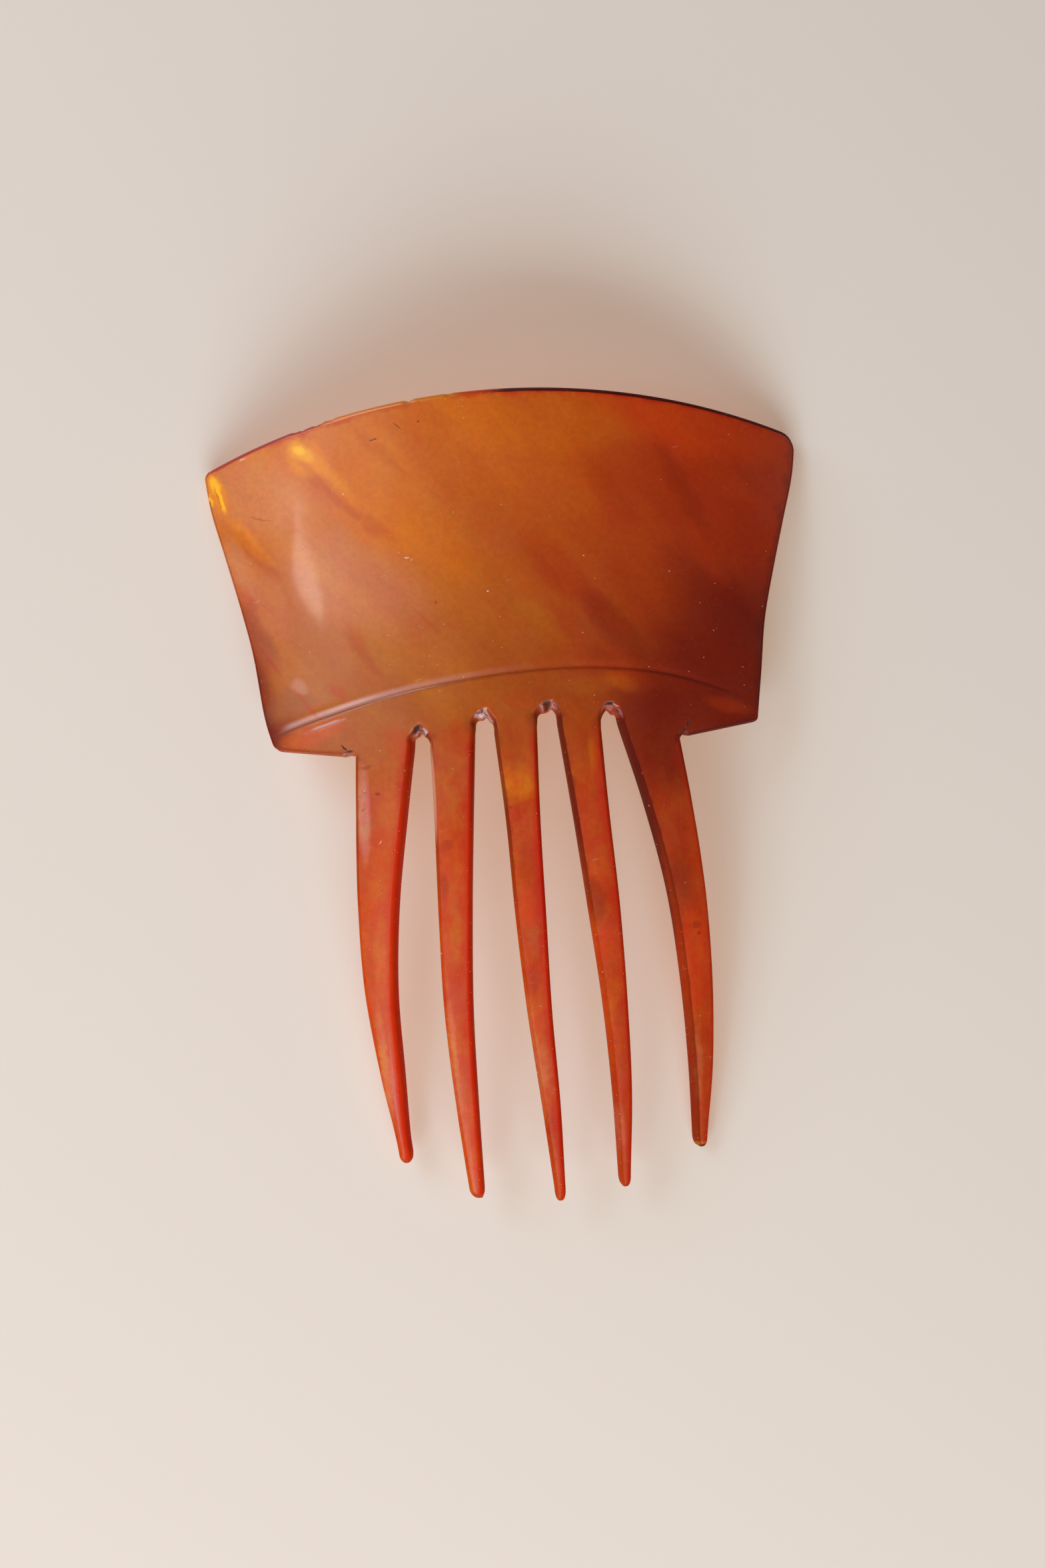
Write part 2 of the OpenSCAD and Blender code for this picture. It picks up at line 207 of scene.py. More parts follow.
@dataclass(frozen=True)
class ScoredLine:
    """The line scored across the plate's foot: a crisp lip, a shallow hollow, a slip of the tool.

    Depth and height are read across the comb. The profile runs in rows up from the lip, each with
    its share of the depth. The rows up to scratch_top draw a short second scratch near the left end.
    """

    depth: Curve = Curve((-39, -30, -20, -5, 12, 26, 38), (0.4, 0.38, 0.2, 0.11, 0.1, 0.13, 0.12))
    rise: Curve = Curve(
        (-41, -30, -19, -8, 4, 14, 23, 31, 39), (1.7, 4.9, 7.6, 9.3, 10.2, 9.9, 8.5, 5.9, 2.6)
    )
    rows: tuple[float, ...] = (
        -1.5, -1.3, -1.15, -1.05, -0.9, -0.5, -0.12, 0.0, 0.08, 0.2, 0.4, 0.7, 1.05, 1.4, 1.7, 2.0, 2.4
    )
    shares: tuple[float, ...] = (
        0, 0.06, 0.28, 0.3, 0, 0, 0, 0.3, 0.66, 0.98, 1, 0.66, 0.3, 0.12, 0.04, 0, 0
    )
    fade_left: float = 6.0
    fade_right: float = 12.0
    scratch: Curve = Curve((-33, -31.5, -27.5, -26), (0, 1, 1, 0))
    scratch_top: float = -0.5

    def cut(self, points: np.ndarray, sides: tuple[np.ndarray, np.ndarray]) -> np.ndarray:
        """Measures how deep the line is cut.

        Args:
            points: Flat places in millimetres.
            sides: Places of the plate's left and right sides.

        Returns:
            Depth below the plate's face at each place.
        """
        above = points[:, 1] - self.rise(points[:, 0])
        share = np.interp(above, self.rows, self.shares)
        stretch = np.clip(points[:, 0], self.scratch.stations[0], self.scratch.stations[-1])
        within = np.clip(self.scratch(stretch), 0, 1)
        share = np.where(above < self.scratch_top, share * within, share)
        near = np.minimum(
            (points[:, 0] - sides[0]) / self.fade_left, (sides[1] - points[:, 0]) / self.fade_right
        )
        return self.depth(points[:, 0]) * share * eased(near)


class Section(NamedTuple):
    """One section down a tooth: share of its length, middle line and width."""

    share: float
    middle: float
    width: float


@dataclass(frozen=True)
class Tooth:
    """One long tooth, drawn through a few sections from its table down to its tip."""

    name: str
    reach: float
    sections: tuple[Section, ...]
    table_top: float = 2.5
    front_round: float = FRONT_ROUND
    edge_share: float = 0.3
    tip_skew: float = 0.0

    def share(self, y: np.ndarray) -> np.ndarray:
        """Share of the tooth's length reached at a height."""
        return (self.table_top - y) / (self.table_top + self.reach)

    def height(self, share: float) -> float:
        """Height at a share of the tooth's length."""
        return self.table_top - share * (self.table_top + self.reach)

    def middle(self, y: np.ndarray) -> np.ndarray:
        """Middle line at a height."""
        shares, middles, _ = zip(*self.sections)
        return Curve(shares, middles)(self.share(y))

    def width(self, y: np.ndarray) -> np.ndarray:
        """Width at a height."""
        shares, _, widths = zip(*self.sections)
        return Curve(shares, widths)(self.share(y))

    def edge(self, y: np.ndarray) -> np.ndarray:
        """Rounding that the tooth's width leaves room for."""
        return np.minimum(self.front_round, self.edge_share * self.width(y))

    def across(self, s: np.ndarray, y: np.ndarray) -> np.ndarray:
        """Place at a share, from -1 to 1, across the flat of the tooth's front."""
        return self.middle(y) + s * (self.width(y) / 2 - self.edge(y))


@dataclass(frozen=True)
class BrokenEnd:
    """The facets left where the horn broke away at a slot's end instead of being cut."""

    seed: int = 21
    facet: float = 0.85
    depth: float = 0.42
    ragged: float = 0.45
    half_span: float = 30.0

    def facets(self, x: np.ndarray, layer: int) -> np.ndarray:
        """Draws one layer of facets.

        Args:
            x: Places across the comb.
            layer: Number of the layer; each is drawn afresh.

        Returns:
            Height of the facets at each place, from -1 to 1.
        """
        knots = np.arange(-self.half_span, self.half_span, self.facet)
        values = np.random.default_rng(self.seed + layer).uniform(-1, 1, len(knots))
        return np.interp(x, knots, values)


class Chip(NamedTuple):
    """A bite out of an edge: its middle, half width and depth, inward and downward."""

    middle: float
    half: float
    bite: float
    drop: float


@dataclass
class Layout:
    """Flat layout of the comb's front, with the walk around its outline."""

    points: np.ndarray
    cells: np.ndarray
    walk: np.ndarray
    lips: np.ndarray
    bevels: np.ndarray
    tooth: np.ndarray
    across: np.ndarray


@dataclass
class HornComb:
    """The comb as one horn sheet: heading plate, scored line and five teeth."""

    name: str = "horn_comb"
    plate: HeadingPlate = HeadingPlate()
    bow: Bow = Bow()
    score: ScoredLine = ScoredLine()
    teeth: tuple[Tooth, ...] = (
        Tooth(
            "outer_left",
            66.03,
            (
                Section(0, -20.3, 9),
                Section(0.2, -22, 7.5),
                Section(0.4, -23.45, 6),
                Section(0.6, -23.95, 4.75),
                Section(0.8, -23.05, 3.4),
                Section(0.94, -22.15, 1.95),
                Section(0.98, -21.85, 1.85),
            ),
            tip_skew=0.15,
        ),
        Tooth(
            "inner_left",
            72.1,
            (
                Section(0, -10, 6.9),
                Section(0.2, -10.7, 5.8),
                Section(0.4, -11.45, 5.05),
                Section(0.6, -11.9, 4.35),
                Section(0.8, -11.55, 3.4),
                Section(0.98, -10.95, 2.3),
            ),
            tip_skew=0.28,
        ),
        Tooth(
            "middle",
            LONGEST_TOOTH,
            (
                Section(0, -0.35, 6.7),
                Section(0.2, 0, 5.3),
                Section(0.4, 0.25, 4.75),
                Section(0.6, 0.7, 3.85),
                Section(0.8, 1.6, 2.9),
                Section(0.98, 2.15, 1.7),
            ),
        ),
        Tooth(
            "inner_right",
            71.74,
            (
                Section(0, 9.4, 6.5),
                Section(0.2, 10.55, 5.45),
                Section(0.4, 11.7, 4.8),
                Section(0.6, 12.55, 3.75),
                Section(0.8, 12.85, 2.9),
                Section(0.98, 12.45, 1.75),
            ),
        ),
        Tooth(
            "outer_right",
            66.54,
            (
                Section(0, 19.8, 8.8),
                Section(0.2, 22.65, 7),
                Section(0.4, 24.8, 5.55),
                Section(0.6, 25.7, 4.6),
                Section(0.8, 25.7, 3.45),
                Section(0.98, 24.9, 1.85),
            ),
        ),
    )
    slot_spring: tuple[float, ...] = (-0.1, 1.7, 2.3, 1.5)
    slot_bevel: float = 1.8
    bevel_fall: float = 0.5
    sharp_bevel: float = 0.25
    front_round: float = FRONT_ROUND
    back_round: float = 0.5
    least_round: float = 0.2
    shoulder_height: float = 0.5
    score_height: float = 2.0
    crowning: float = 0.05
    crowning_run: float = 8.0
    scraping_run: float = 6.0
    off_score: float = -9.0
    shoulder_columns: int = 36
    tooth_columns: int = 19
    slot_columns: int = 25
    slot_evenness: float = 0.35
    least_step: float = 0.0005
    rim_rounds: int = 8
    edge_batches: int = 24
    low_rows: int = 12
    high_rows: int = 50
    crown_rows: tuple[float, ...] = (2.4, 1.7, 1.1, 0.7, 0.35, 0.12, 0)
    tooth_rows: int = 84
    tip_rows: int = 10
    last_share: float = 0.975
    tip_turn: float = math.radians(80)
    front_rings: int = 6
    back_rings: int = 4
    scraping: Ripple = Ripple(0.024, 18.0, 11)
    tooth_scraping: Ripple = Ripple(0.016, 9.0, 12)
    back_scraping: Ripple = Ripple(0.03, 12.0, 13)
    broken: BrokenEnd = BrokenEnd()
    notches: tuple[Chip, ...] = (
        Chip(-25.9, 0.6, 0.7, 0.7),
        Chip(-24.9, 0.35, 0.4, 0.5),
        Chip(25.3, 0.55, 0.75, 0.7),
    )
    chips: tuple[Chip, ...] = (
        Chip(-31.2, 0.5, 0.25, 0.3),
        Chip(-30.1, 0.7, 0.42, 0.5),
        Chip(-28.9, 0.45, 0.3, 0.4),
        Chip(-27.9, 0.6, 0.45, 0.5),
        Chip(-26.9, 0.4, 0.25, 0.3),
        Chip(-25.6, 0.5, 0.2, 0.3),
        Chip(-13.4, 0.55, 0.4, 0.6),
        Chip(-7.3, 0.6, 0.12, 0.3),
    )
    chip_form: float = 0.6
    chip_through: float = 0.6

    def slot_points(self, k: int, turn: np.ndarray) -> np.ndarray:
        """Draws the upper rim of the bevel around the end of slot k.

        Args:
            k: Place of the slot, from the left.
            turn: Turns around the slot end, half a turn at its left.

        Returns:
            Flat places on the rim, one row each.
        """
        left, right = self.teeth[k], self.teeth[k + 1]
        y = self.slot_spring[k]
        a = float(left.middle(y) + left.width(y) / 2)
        b = float(right.middle(y) - right.width(y) / 2)
        half = (b - a) / 2
        x = a + half + (half + self.front_round) * np.cos(turn)
        rough = self.broken.ragged * self.broken.facets(x, 0)
        return np.stack([x, y + (half + self.slot_bevel + rough) * np.sin(turn)], axis=1)

    def lip_of_slot(self, turn: np.ndarray) -> np.ndarray:
        """Way from the rim of a slot's bevel down to the slot, at each turn."""
        return -np.stack([self.front_round * np.cos(turn), self.slot_bevel * np.sin(turn)], axis=1)

    def root(self, k: int, s: np.ndarray) -> np.ndarray:
        """Draws the root of tooth k.

        Args:
            k: Place of the tooth, from the left.
            s: Shares across its front, from -1 to 1.

        Returns:
            Flat places along the root, one row each.
        """
        low = self.plate.shoulder_low + self.front_round
        left = low if k == 0 else self.slot_spring[k - 1]
        right = low if k == len(self.teeth) - 1 else self.slot_spring[k]
        y = left + (right - left) * (s + 1) / 2
        return np.stack([self.teeth[k].across(s, y), y], axis=1)

    def shoulder(self, side: float, inner: float) -> np.ndarray:
        """Draws the foot of a shoulder.

        Args:
            side: Place across the comb at which it starts.
            inner: Place at which it ends, beside the outer tooth.

        Returns:
            Flat places from the side inwards, one row each.
        """
        share = np.linspace(0, 1, self.shoulder_columns + 1)[:-1]
        low = self.plate.shoulder_low + self.front_round
        rise = low + self.plate.shoulder_rise * (1 - share)
        return np.stack([side + (inner - side) * share, rise], axis=1)

    def foot(self) -> tuple[np.ndarray, np.ndarray, np.ndarray]:
        """Draws the whole foot of the plate, from the left side to the right.

        Returns:
            Flat places, the slot turn that each stands at or nan, and the tooth's place or -1.
        """
        steps = np.linspace(-1, 1, self.tooth_columns)
        even = np.linspace(-1, 1, self.slot_columns + 2)[1:-1]
        bunched = np.sin(even * math.pi / 2)
        turns = np.arccos(self.slot_evenness * even + (1 - self.slot_evenness) * bunched)
        left, right = self.plate.sides(np.array(self.shoulder_height))
        last = len(self.teeth) - 1
        parts = [self.shoulder(left + self.front_round, self.root(0, steps[:1])[0, 0])]
        turn_of = [np.full(len(parts[0]), np.nan)]
        tooth_of = [np.full(len(parts[0]), -1)]
        for k in range(len(self.teeth)):
            parts.append(self.root(k, steps))
            turn_of.append(np.full(len(steps), np.nan))
            tooth_of.append(np.full(len(steps), k))
            if k < last:
                parts.append(self.slot_points(k, turns))
                turn_of.append(turns)
                tooth_of.append(np.full(len(turns), -1))
        inner = self.root(last, steps[-1:])[0, 0]
        parts.append(self.shoulder(right - self.front_round, inner)[::-1])
        turn_of.append(np.full(len(parts[-1]), np.nan))
        tooth_of.append(np.full(len(parts[-1]), -1))
        return np.concatenate(parts), np.concatenate(turn_of), np.concatenate(tooth_of)

    def inner_sides(self, y: np.ndarray) -> tuple[np.ndarray, np.ndarray]:
        """Places of the rims of the plate's front at a height."""
        left, right = self.plate.sides(y)
        return left + self.front_round, right - self.front_round

    def plate_grid(self, foot: np.ndarray) -> np.ndarray:
        """Draws the plate row by row over its foot.

        Args:
            foot: Flat places along the foot.

        Returns:
            Rows of flat places, from the foot to the rim of the crown.
        """
        left, right = self.inner_sides(foot[:, 1])
        share = (foot[:, 0] - left) / (right - left)
        steps = np.maximum(np.diff(share), self.least_step)
        share = share[0] + np.append(0, np.cumsum(steps)) * (share[-1] - share[0]) / steps.sum()

        def column(y: np.ndarray) -> np.ndarray:
            """Place across the plate of every column at its height."""
            a, b = self.inner_sides(y)
            return a + share * (b - a)

        lip = np.full(len(foot), max(self.score.rise.values))
        rim = np.full(len(foot), self.plate.corner_height)
        for _ in range(self.rim_rounds):
            lip = self.score.rise(column(lip))
            rim = self.plate.arch(column(rim)) - self.front_round
        start = lip + self.score.rows[0]
        top = lip + self.score.rows[-1]
        rows = [foot[:, 1] + f * (start - foot[:, 1]) for f in np.linspace(0, 1, self.low_rows)[:-1]]
        rows += [lip + d for d in self.score.rows]
        shares = np.linspace(0, 1, self.high_rows + 1)[1:-1]
        rows += [top + f * (rim - self.crown_rows[0] - top) for f in shares]
        rows += [rim - d for d in self.crown_rows]
        grid = np.stack([np.stack([column(y), y], axis=1) for y in rows])
        corners = (
            (grid[-1, 0], self.plate.left_corner_round, (-1, 1)),
            (grid[-1, -1], self.plate.right_corner_round, (1, 1)),
            (grid[0, 0], self.plate.left_shoulder_round, (-1, -1)),
            (grid[0, -1], self.plate.right_shoulder_round, (1, -1)),
        )
        for corner, radius, way in [(c.copy(), r, np.array(w)) for c, r, w in corners]:
            grid = self.rounded(grid, corner, radius, way)
        return grid

    def rounded(
        self, grid: np.ndarray, corner: np.ndarray, radius: float, way: np.ndarray
    ) -> np.ndarray:
        """Pulls the places near a square corner onto a rounded one.

        Args:
            grid: Rows of flat places.
            corner: The square corner.
            radius: Radius of the outline's corner.
            way: Signs of the way out of the corner.

        Returns:
            The grid with its corner rounded.
        """
        r = max(radius - self.front_round, self.least_round)
        centre = corner - way * r
        d = (grid - centre) * way / r
        near = (d > 0).all(axis=2)
        length = np.where(near, np.linalg.norm(d, axis=2), 1)
        pull = np.where(near, d.max(axis=2) / length, 1)
        return np.where(near[..., None], centre + way * d * r * pull[..., None], grid)

    def tooth_grid(self, k: int) -> np.ndarray:
        """Draws tooth k row by row below its root: down its length, then around its tip.

        Args:
            k: Place of the tooth, from the left.

        Returns:
            Rows of flat places, from the root to the tip.
        """
        tooth = self.teeth[k]
        s = np.linspace(-1, 1, self.tooth_columns)
        root = self.root(k, s)[:, 1]
        last = tooth.height(self.last_share)
        rows = []
        for share in np.linspace(0, 1, self.tooth_rows + 1)[1:]:
            y = root + share * (last - root)
            rows.append(np.stack([tooth.across(s, y), y], axis=1))
        end = last + tooth.reach - float(tooth.edge(last))
        for turn in np.linspace(0, self.tip_turn, self.tip_rows + 1)[1:]:
            half = tooth.across(s, last) - tooth.middle(last)
            skew = tooth.tip_skew * (1 - math.cos(turn)) / (1 - math.cos(self.tip_turn))
            x = tooth.middle(last) + half * math.cos(turn) + skew
            y = np.full(len(s), last - end * math.sin(turn) / math.sin(self.tip_turn))
            rows.append(np.stack([x, y], axis=1))
        return np.stack(rows)

    def layout(self) -> Layout:
        """Draws the flat front, its cells and the walk around its outline.

        Returns:
            The layout.
        """
        foot, turn_of, tooth_of = self.foot()
        grid = self.plate_grid(foot)
        rows, columns = grid.shape[:2]
        ids = np.arange(rows * columns).reshape(rows, columns)
        points = [grid.reshape(-1, 2)]
        cells = [self.cells_of(ids)]
        s = np.linspace(-1, 1, self.tooth_columns)
        tooth = [np.full(rows * columns, -1)]
        across = [np.zeros(rows * columns)]
        tooth_ids = []
        for k in range(len(self.teeth)):
            part = self.tooth_grid(k)
            start = sum(len(p) for p in points)
            inner = start + np.arange(part.shape[0] * part.shape[1]).reshape(part.shape[:2])
            whole = np.vstack([ids[0, tooth_of == k], inner])
            tooth_ids.append(whole)
            cells.append(self.cells_of(whole[::-1]))
            points.append(part.reshape(-1, 2))
            tooth.append(np.full(inner.size, k))
            across.append(np.tile(s, len(part)))
        flat = np.concatenate(points)
        tooth_at = np.concatenate(tooth)
        walk = self.outline_walk(ids, tooth_ids, tooth_of)
        turn = np.full(len(flat), np.nan)
        turn[ids[0]] = turn_of
        lips, bevels = self.lips(flat, walk, turn[walk], tooth_at)
        return Layout(
            flat, np.concatenate(cells), walk, lips, bevels, tooth_at, np.concatenate(across)
        )

    def outline_walk(
        self, ids: np.ndarray, tooth_ids: list[np.ndarray], tooth_of: np.ndarray
    ) -> np.ndarray:
        """Walks around the outline, clockwise from the upper left corner.

        Args:
            ids: Numbers of the plate's places, in rows from the foot up.
            tooth_ids: Numbers of each tooth's places, in rows from its root down.
            tooth_of: Tooth of each place along the foot, or -1.

        Returns:
            Numbers of the places along the walk.
        """
        walk = [ids[-1], ids[-2::-1, -1], ids[0, -2 : -self.shoulder_columns - 1 : -1]]
        for k in range(len(self.teeth) - 1, -1, -1):
            rows = tooth_ids[k]
            walk += [rows[:, -1], rows[-1, -2:0:-1], rows[::-1, 0]]
            if k > 0:
                start = np.flatnonzero(tooth_of == k)[0] - 1
                end = np.flatnonzero(tooth_of == k - 1)[-1]
                walk.append(ids[0, start:end:-1])
        walk += [ids[0, self.shoulder_columns - 1 :: -1], ids[1:-1, 0]]
        return np.concatenate(walk)

    @staticmethod
    def cells_of(ids: np.ndarray) -> np.ndarray:
        """Four-sided cells of a grid whose rows run upwards, facing the viewer."""
        a, b, c, d = ids[:-1, :-1], ids[:-1, 1:], ids[1:, 1:], ids[1:, :-1]
        return np.stack([a, b, c, d], axis=-1).reshape(-1, 4)

    def lips(
        self, flat: np.ndarray, walk: np.ndarray, turn: np.ndarray, tooth: np.ndarray
    ) -> tuple[np.ndarray, np.ndarray]:
        """Finds the way from the front's rim to the outline at each step of the walk.

        Args:
            flat: Flat places of the layout.
            walk: The walk around it.
            turn: Slot turn at each step, or nan.
            tooth: Tooth of each place, or -1.

        Returns:
            The ways in millimetres, and how far each step belongs to a slot's bevel.
        """
        p = flat[walk]
        step = np.roll(p, -1, axis=0) - p
        out = np.stack([-step[:, 1], step[:, 0]], axis=1)
        out /= np.linalg.norm(out, axis=1, keepdims=True)
        before = np.roll(out, 1, axis=0)
        width = np.full(len(p), self.front_round)
        for k, one in enumerate(self.teeth):
            mine = tooth[walk] == k
            y = np.maximum(p[mine, 1], one.height(self.last_share))
            width[mine] = one.edge(y)
        share = 1 + (before * out).sum(axis=1, keepdims=True)
        lips = width[:, None] * (before + out) / share
        slot = ~np.isnan(turn)
        lips[slot] = self.lip_of_slot(turn[slot])
        return lips, np.where(slot, np.sin(np.where(slot, turn, 0)), 0)

    def front_level(self, flat: np.ndarray, plan: Layout) -> np.ndarray:
        """Measures how high the front lies.

        Args:
            flat: Flat places of the layout.
            plan: The layout.

        Returns:
            Height of the front over the middle of the sheet at every place.
        """
        half = self.bow.thickness(flat[:, 1]) / 2
        in_plate = plan.tooth < 0
        sides = self.plate.sides(np.array(self.score_height))
        cut = np.where(in_plate, self.score.cut(flat, sides), 0)
        crowned = np.clip(-flat[:, 1] / self.crowning_run, 0, 1)
        fall = half * self.crowning * plan.across**2 * crowned
        blend = eased((flat[:, 1] + self.scraping_run) / (2 * self.scraping_run))
        waves = self.scraping(flat) * blend + self.tooth_scraping(flat) * (1 - blend)
        return half + waves - cut - np.where(in_plate, 0, fall)

    def chipped(self, plan: Layout) -> tuple[np.ndarray, np.ndarray]:
        """Measures the chips along the crown and the notches beside the outer teeth.

        Args:
            plan: The flat layout.

        Returns:
            How far each step of the walk is bitten inward, and how far its front edge drops.
        """
        p = plan.points[plan.walk]
        on_crown = p[:, 1] > self.plate.arch(p[:, 0]) - 2 * self.front_round
        on_foot = (plan.tooth[plan.walk] < 0) & (p[:, 1] < self.plate.shoulder_rise)
        bite = np.zeros(len(p))
        drop = np.zeros(len(p))
        places = [(chip, on_crown) for chip in self.chips] + [(n, on_foot) for n in self.notches]
        for chip, here in places:
            near = np.clip(1 - np.abs(p[:, 0] - chip.middle) / chip.half, 0, 1) ** self.chip_form
            bite = np.maximum(bite, np.where(here, chip.bite * near, 0))
            drop = np.maximum(drop, np.where(here, chip.drop * near, 0))
        return bite, drop

    def rings(self, plan: Layout, level: np.ndarray) -> list[np.ndarray]:
        """Builds the rings of the edge wall, from beyond the front's rim to the back's rim.

        Args:
            plan: The flat layout.
            level: Height of the front at every place of the layout.

        Returns:
            Rings of places in space; the last is the rim of the back.
        """
        p = plan.points[plan.walk]
        o = plan.lips
        size = np.linalg.norm(o, axis=1)
        half = self.bow.thickness(p[:, 1]) / 2
        top = level[plan.walk]
        drop = np.minimum(self.front_round, size) + self.bevel_fall * plan.bevels
        bite, fall = self.chipped(plan)
        outward = o / size[:, None]
        rings = []
        for n in range(1, self.front_rings + 1):
            t = n / self.front_rings
            turn = t * math.pi / 2
            across = math.sin(turn) * (1 - plan.bevels) + t * plan.bevels
            down = (1 - math.cos(turn)) * (1 - plan.bevels) + t * plan.bevels
            place = p + o * across[:, None] - outward * (bite * t)[:, None]
            rough = self.broken.depth * plan.bevels * self.roughness_of(p, n)
            rings.append(self.bow.lifted(place, top - down * drop - fall * t * (1 - t) * 2 + rough))
        inward = outward * np.minimum(self.back_round, size)[:, None]
        under = np.linalg.norm(inward, axis=1)
        bitten = outward * (bite * self.chip_through)[:, None]
        for n in range(self.back_rings + 1):
            turn = n / self.back_rings * math.pi / 2
            place = p + o - inward * (1 - math.cos(turn)) - bitten
            rings.append(self.bow.lifted(place, -half + under * (1 - math.sin(turn))))
        return rings

    def roughness_of(self, p: np.ndarray, ring: int) -> np.ndarray:
        """Measures the broken facets along one ring, in two layers that run out at both rims.

        Args:
            p: Flat places of the walk.
            ring: Number of the ring, from the front's rim down.

        Returns:
            Height of the facets at each place, from -1 to 1.
        """
        t = ring / self.front_rings
        upper, lower = self.broken.facets(p[:, 0], 1), self.broken.facets(p[:, 0], 2)
        share = min(max(3 * t - 1, 0), 1)
        return (upper * (1 - share) + lower * share) * min(3 * t, 3 * (1 - t), 1)

    def build(self) -> bpy.types.Object:
        """Builds the comb's mesh in the frame.

        Returns:
            The comb, smooth shaded, with the measures that its finish reads.
        """
        plan = self.layout()
        level = self.front_level(plan.points, plan)
        half = self.bow.thickness(plan.points[:, 1]) / 2
        front = self.bow.lifted(plan.points, level)
        back = self.bow.lifted(plan.points, -half + self.back_scraping(plan.points))
        rings = self.rings(plan, level)
        back[plan.walk] = rings[-1]
        points = self.levelled(np.concatenate([front, back, *rings[:-1]]))
        mesh = bpy.data.meshes.new(self.name)
        mesh.from_pydata((points * MM).tolist(), [], self.faces(plan, len(rings)).tolist())
        mesh.validate()
        mesh.polygons.foreach_set("use_smooth", self.smooth_faces(plan, len(mesh.polygons)))
        for name, values in self.measures(plan, len(rings)).items():
            written = mesh.attributes.new(name, "FLOAT", "POINT")
            written.data.foreach_set("value", values.astype(np.float32))
        mesh.update()
        comb = bpy.data.objects.new(self.name, mesh)
        bpy.context.scene.collection.objects.link(comb)
        return comb

    def faces(self, plan: Layout, rings: int) -> np.ndarray:
        """Joins the front and the back with the wall of rings between them.

        Args:
            plan: The flat layout.
            rings: Number of rings, the back's rim among them.

        Returns:
            The corners of every face: the front, the back, then the wall from the front down.
        """
        sheet, steps = len(plan.points), len(plan.walk)
        loops = [plan.walk]
        loops += [2 * sheet + n * steps + np.arange(steps) for n in range(rings - 1)]
        loops.append(sheet + plan.walk)
        faces = [plan.cells, sheet + plan.cells[:, ::-1]]
        for upper, lower in zip(loops, loops[1:]):
            corners = [upper, np.roll(upper, -1), np.roll(lower, -1), lower]
            faces.append(np.stack(corners, axis=1))
        return np.concatenate(faces)

    def smooth_faces(self, plan: Layout, count: int) -> np.ndarray:
        """Picks the faces that are shaded smooth: all but the broken ones at the slot ends.

        Args:
            plan: The flat layout.
            count: Number of faces.

        Returns:
            Whether each face is smooth.
        """
        smooth = np.ones(count, dtype=bool)
        first = 2 * len(plan.cells)
        wall = np.tile(plan.bevels < self.sharp_bevel, self.front_rings)
        smooth[first : first + len(wall)] = wall
        return smooth

    def measures(self, plan: Layout, rings: int) -> dict[str, np.ndarray]:
        """Gathers the measures that the finish reads at each place of the mesh.

        Args:
            plan: The flat layout.
            rings: Number of rings, the back's rim among them.

        Returns:
            The distance from the outline, the way out across and up the comb, the height above
            the scored line, and how far the broken facets stand out, by name.
        """
        inset, side, up = self.edge_measures(plan)
        way = plan.lips / np.linalg.norm(plan.lips, axis=1, keepdims=True)
        above = plan.points[:, 1] - self.score.rise(plan.points[:, 0])
        above = np.where(plan.tooth < 0, above, self.off_score)
        sheet = np.zeros(len(plan.points))
        wall = np.zeros(len(plan.walk) * (rings - 1))
        walk = plan.points[plan.walk]
        facets = [plan.bevels * self.roughness_of(walk, n + 1) for n in range(self.front_rings)]
        broken = np.append(np.concatenate(facets), np.zeros(len(wall) - len(walk) * len(facets)))
        parts = {
            "inset": (inset, inset, wall),
            "side": (side, side, np.tile(way[:, 0], rings - 1)),
            "up": (up, up, np.tile(way[:, 1], rings - 1)),
            "score": (above, sheet + self.off_score, wall + self.off_score),
            "broken": (sheet, sheet, broken),
        }
        return {name: np.concatenate(values) for name, values in parts.items()}

    def edge_measures(self, plan: Layout) -> tuple[np.ndarray, np.ndarray, np.ndarray]:
        """Measures where every place of the layout lies from the nearest edge.

        Args:
            plan: The flat layout.

        Returns:
            The distance from the outline in millimetres, and the way out across and up the comb.
        """
        outline = plan.points[plan.walk] + plan.lips
        way = plan.lips / np.linalg.norm(plan.lips, axis=1, keepdims=True)
        away, nearest = [], []
        for part in np.array_split(plan.points, self.edge_batches):
            gap = ((part[:, None] - outline[None]) ** 2).sum(axis=2)
            nearest.append(gap.argmin(axis=1))
            away.append(np.sqrt(gap.min(axis=1)))
        near = np.concatenate(nearest)
        return np.concatenate(away), way[near, 0], way[near, 1]

    def levelled(self, raw: np.ndarray) -> np.ndarray:
        """Leans the comb onto both upper corners and its lowest tip, and sets it in the frame.

        Args:
            raw: Places in space before the comb is laid down.

        Returns:
            The places with the comb resting on the surface over the middle of its footprint.
        """
        x, y = raw[:, 0], raw[:, 1]
        rests = []
        for window in (
            (x < -self.plate.left_shoulder / 2) & (y > 0),
            (x > self.plate.right_shoulder / 2) & (y > 0),
            y < -self.teeth[2].reach / 2,
        ):
            part = raw[window]
            rests.append(part[part[:, 2].argmin()])
        normal = np.cross(rests[1] - rests[0], rests[2] - rests[0])
        lean = -normal[:2] / normal[2]
        placed = raw.copy()
        placed[:, 2] -= rests[0][2] + (raw[:, :2] - rests[0][:2]) @ lean
        low, high = placed.min(axis=0), placed.max(axis=0)
        placed[:, :2] -= (low[:2] + high[:2]) / 2
        placed[:, 2] -= low[2]
        return placed


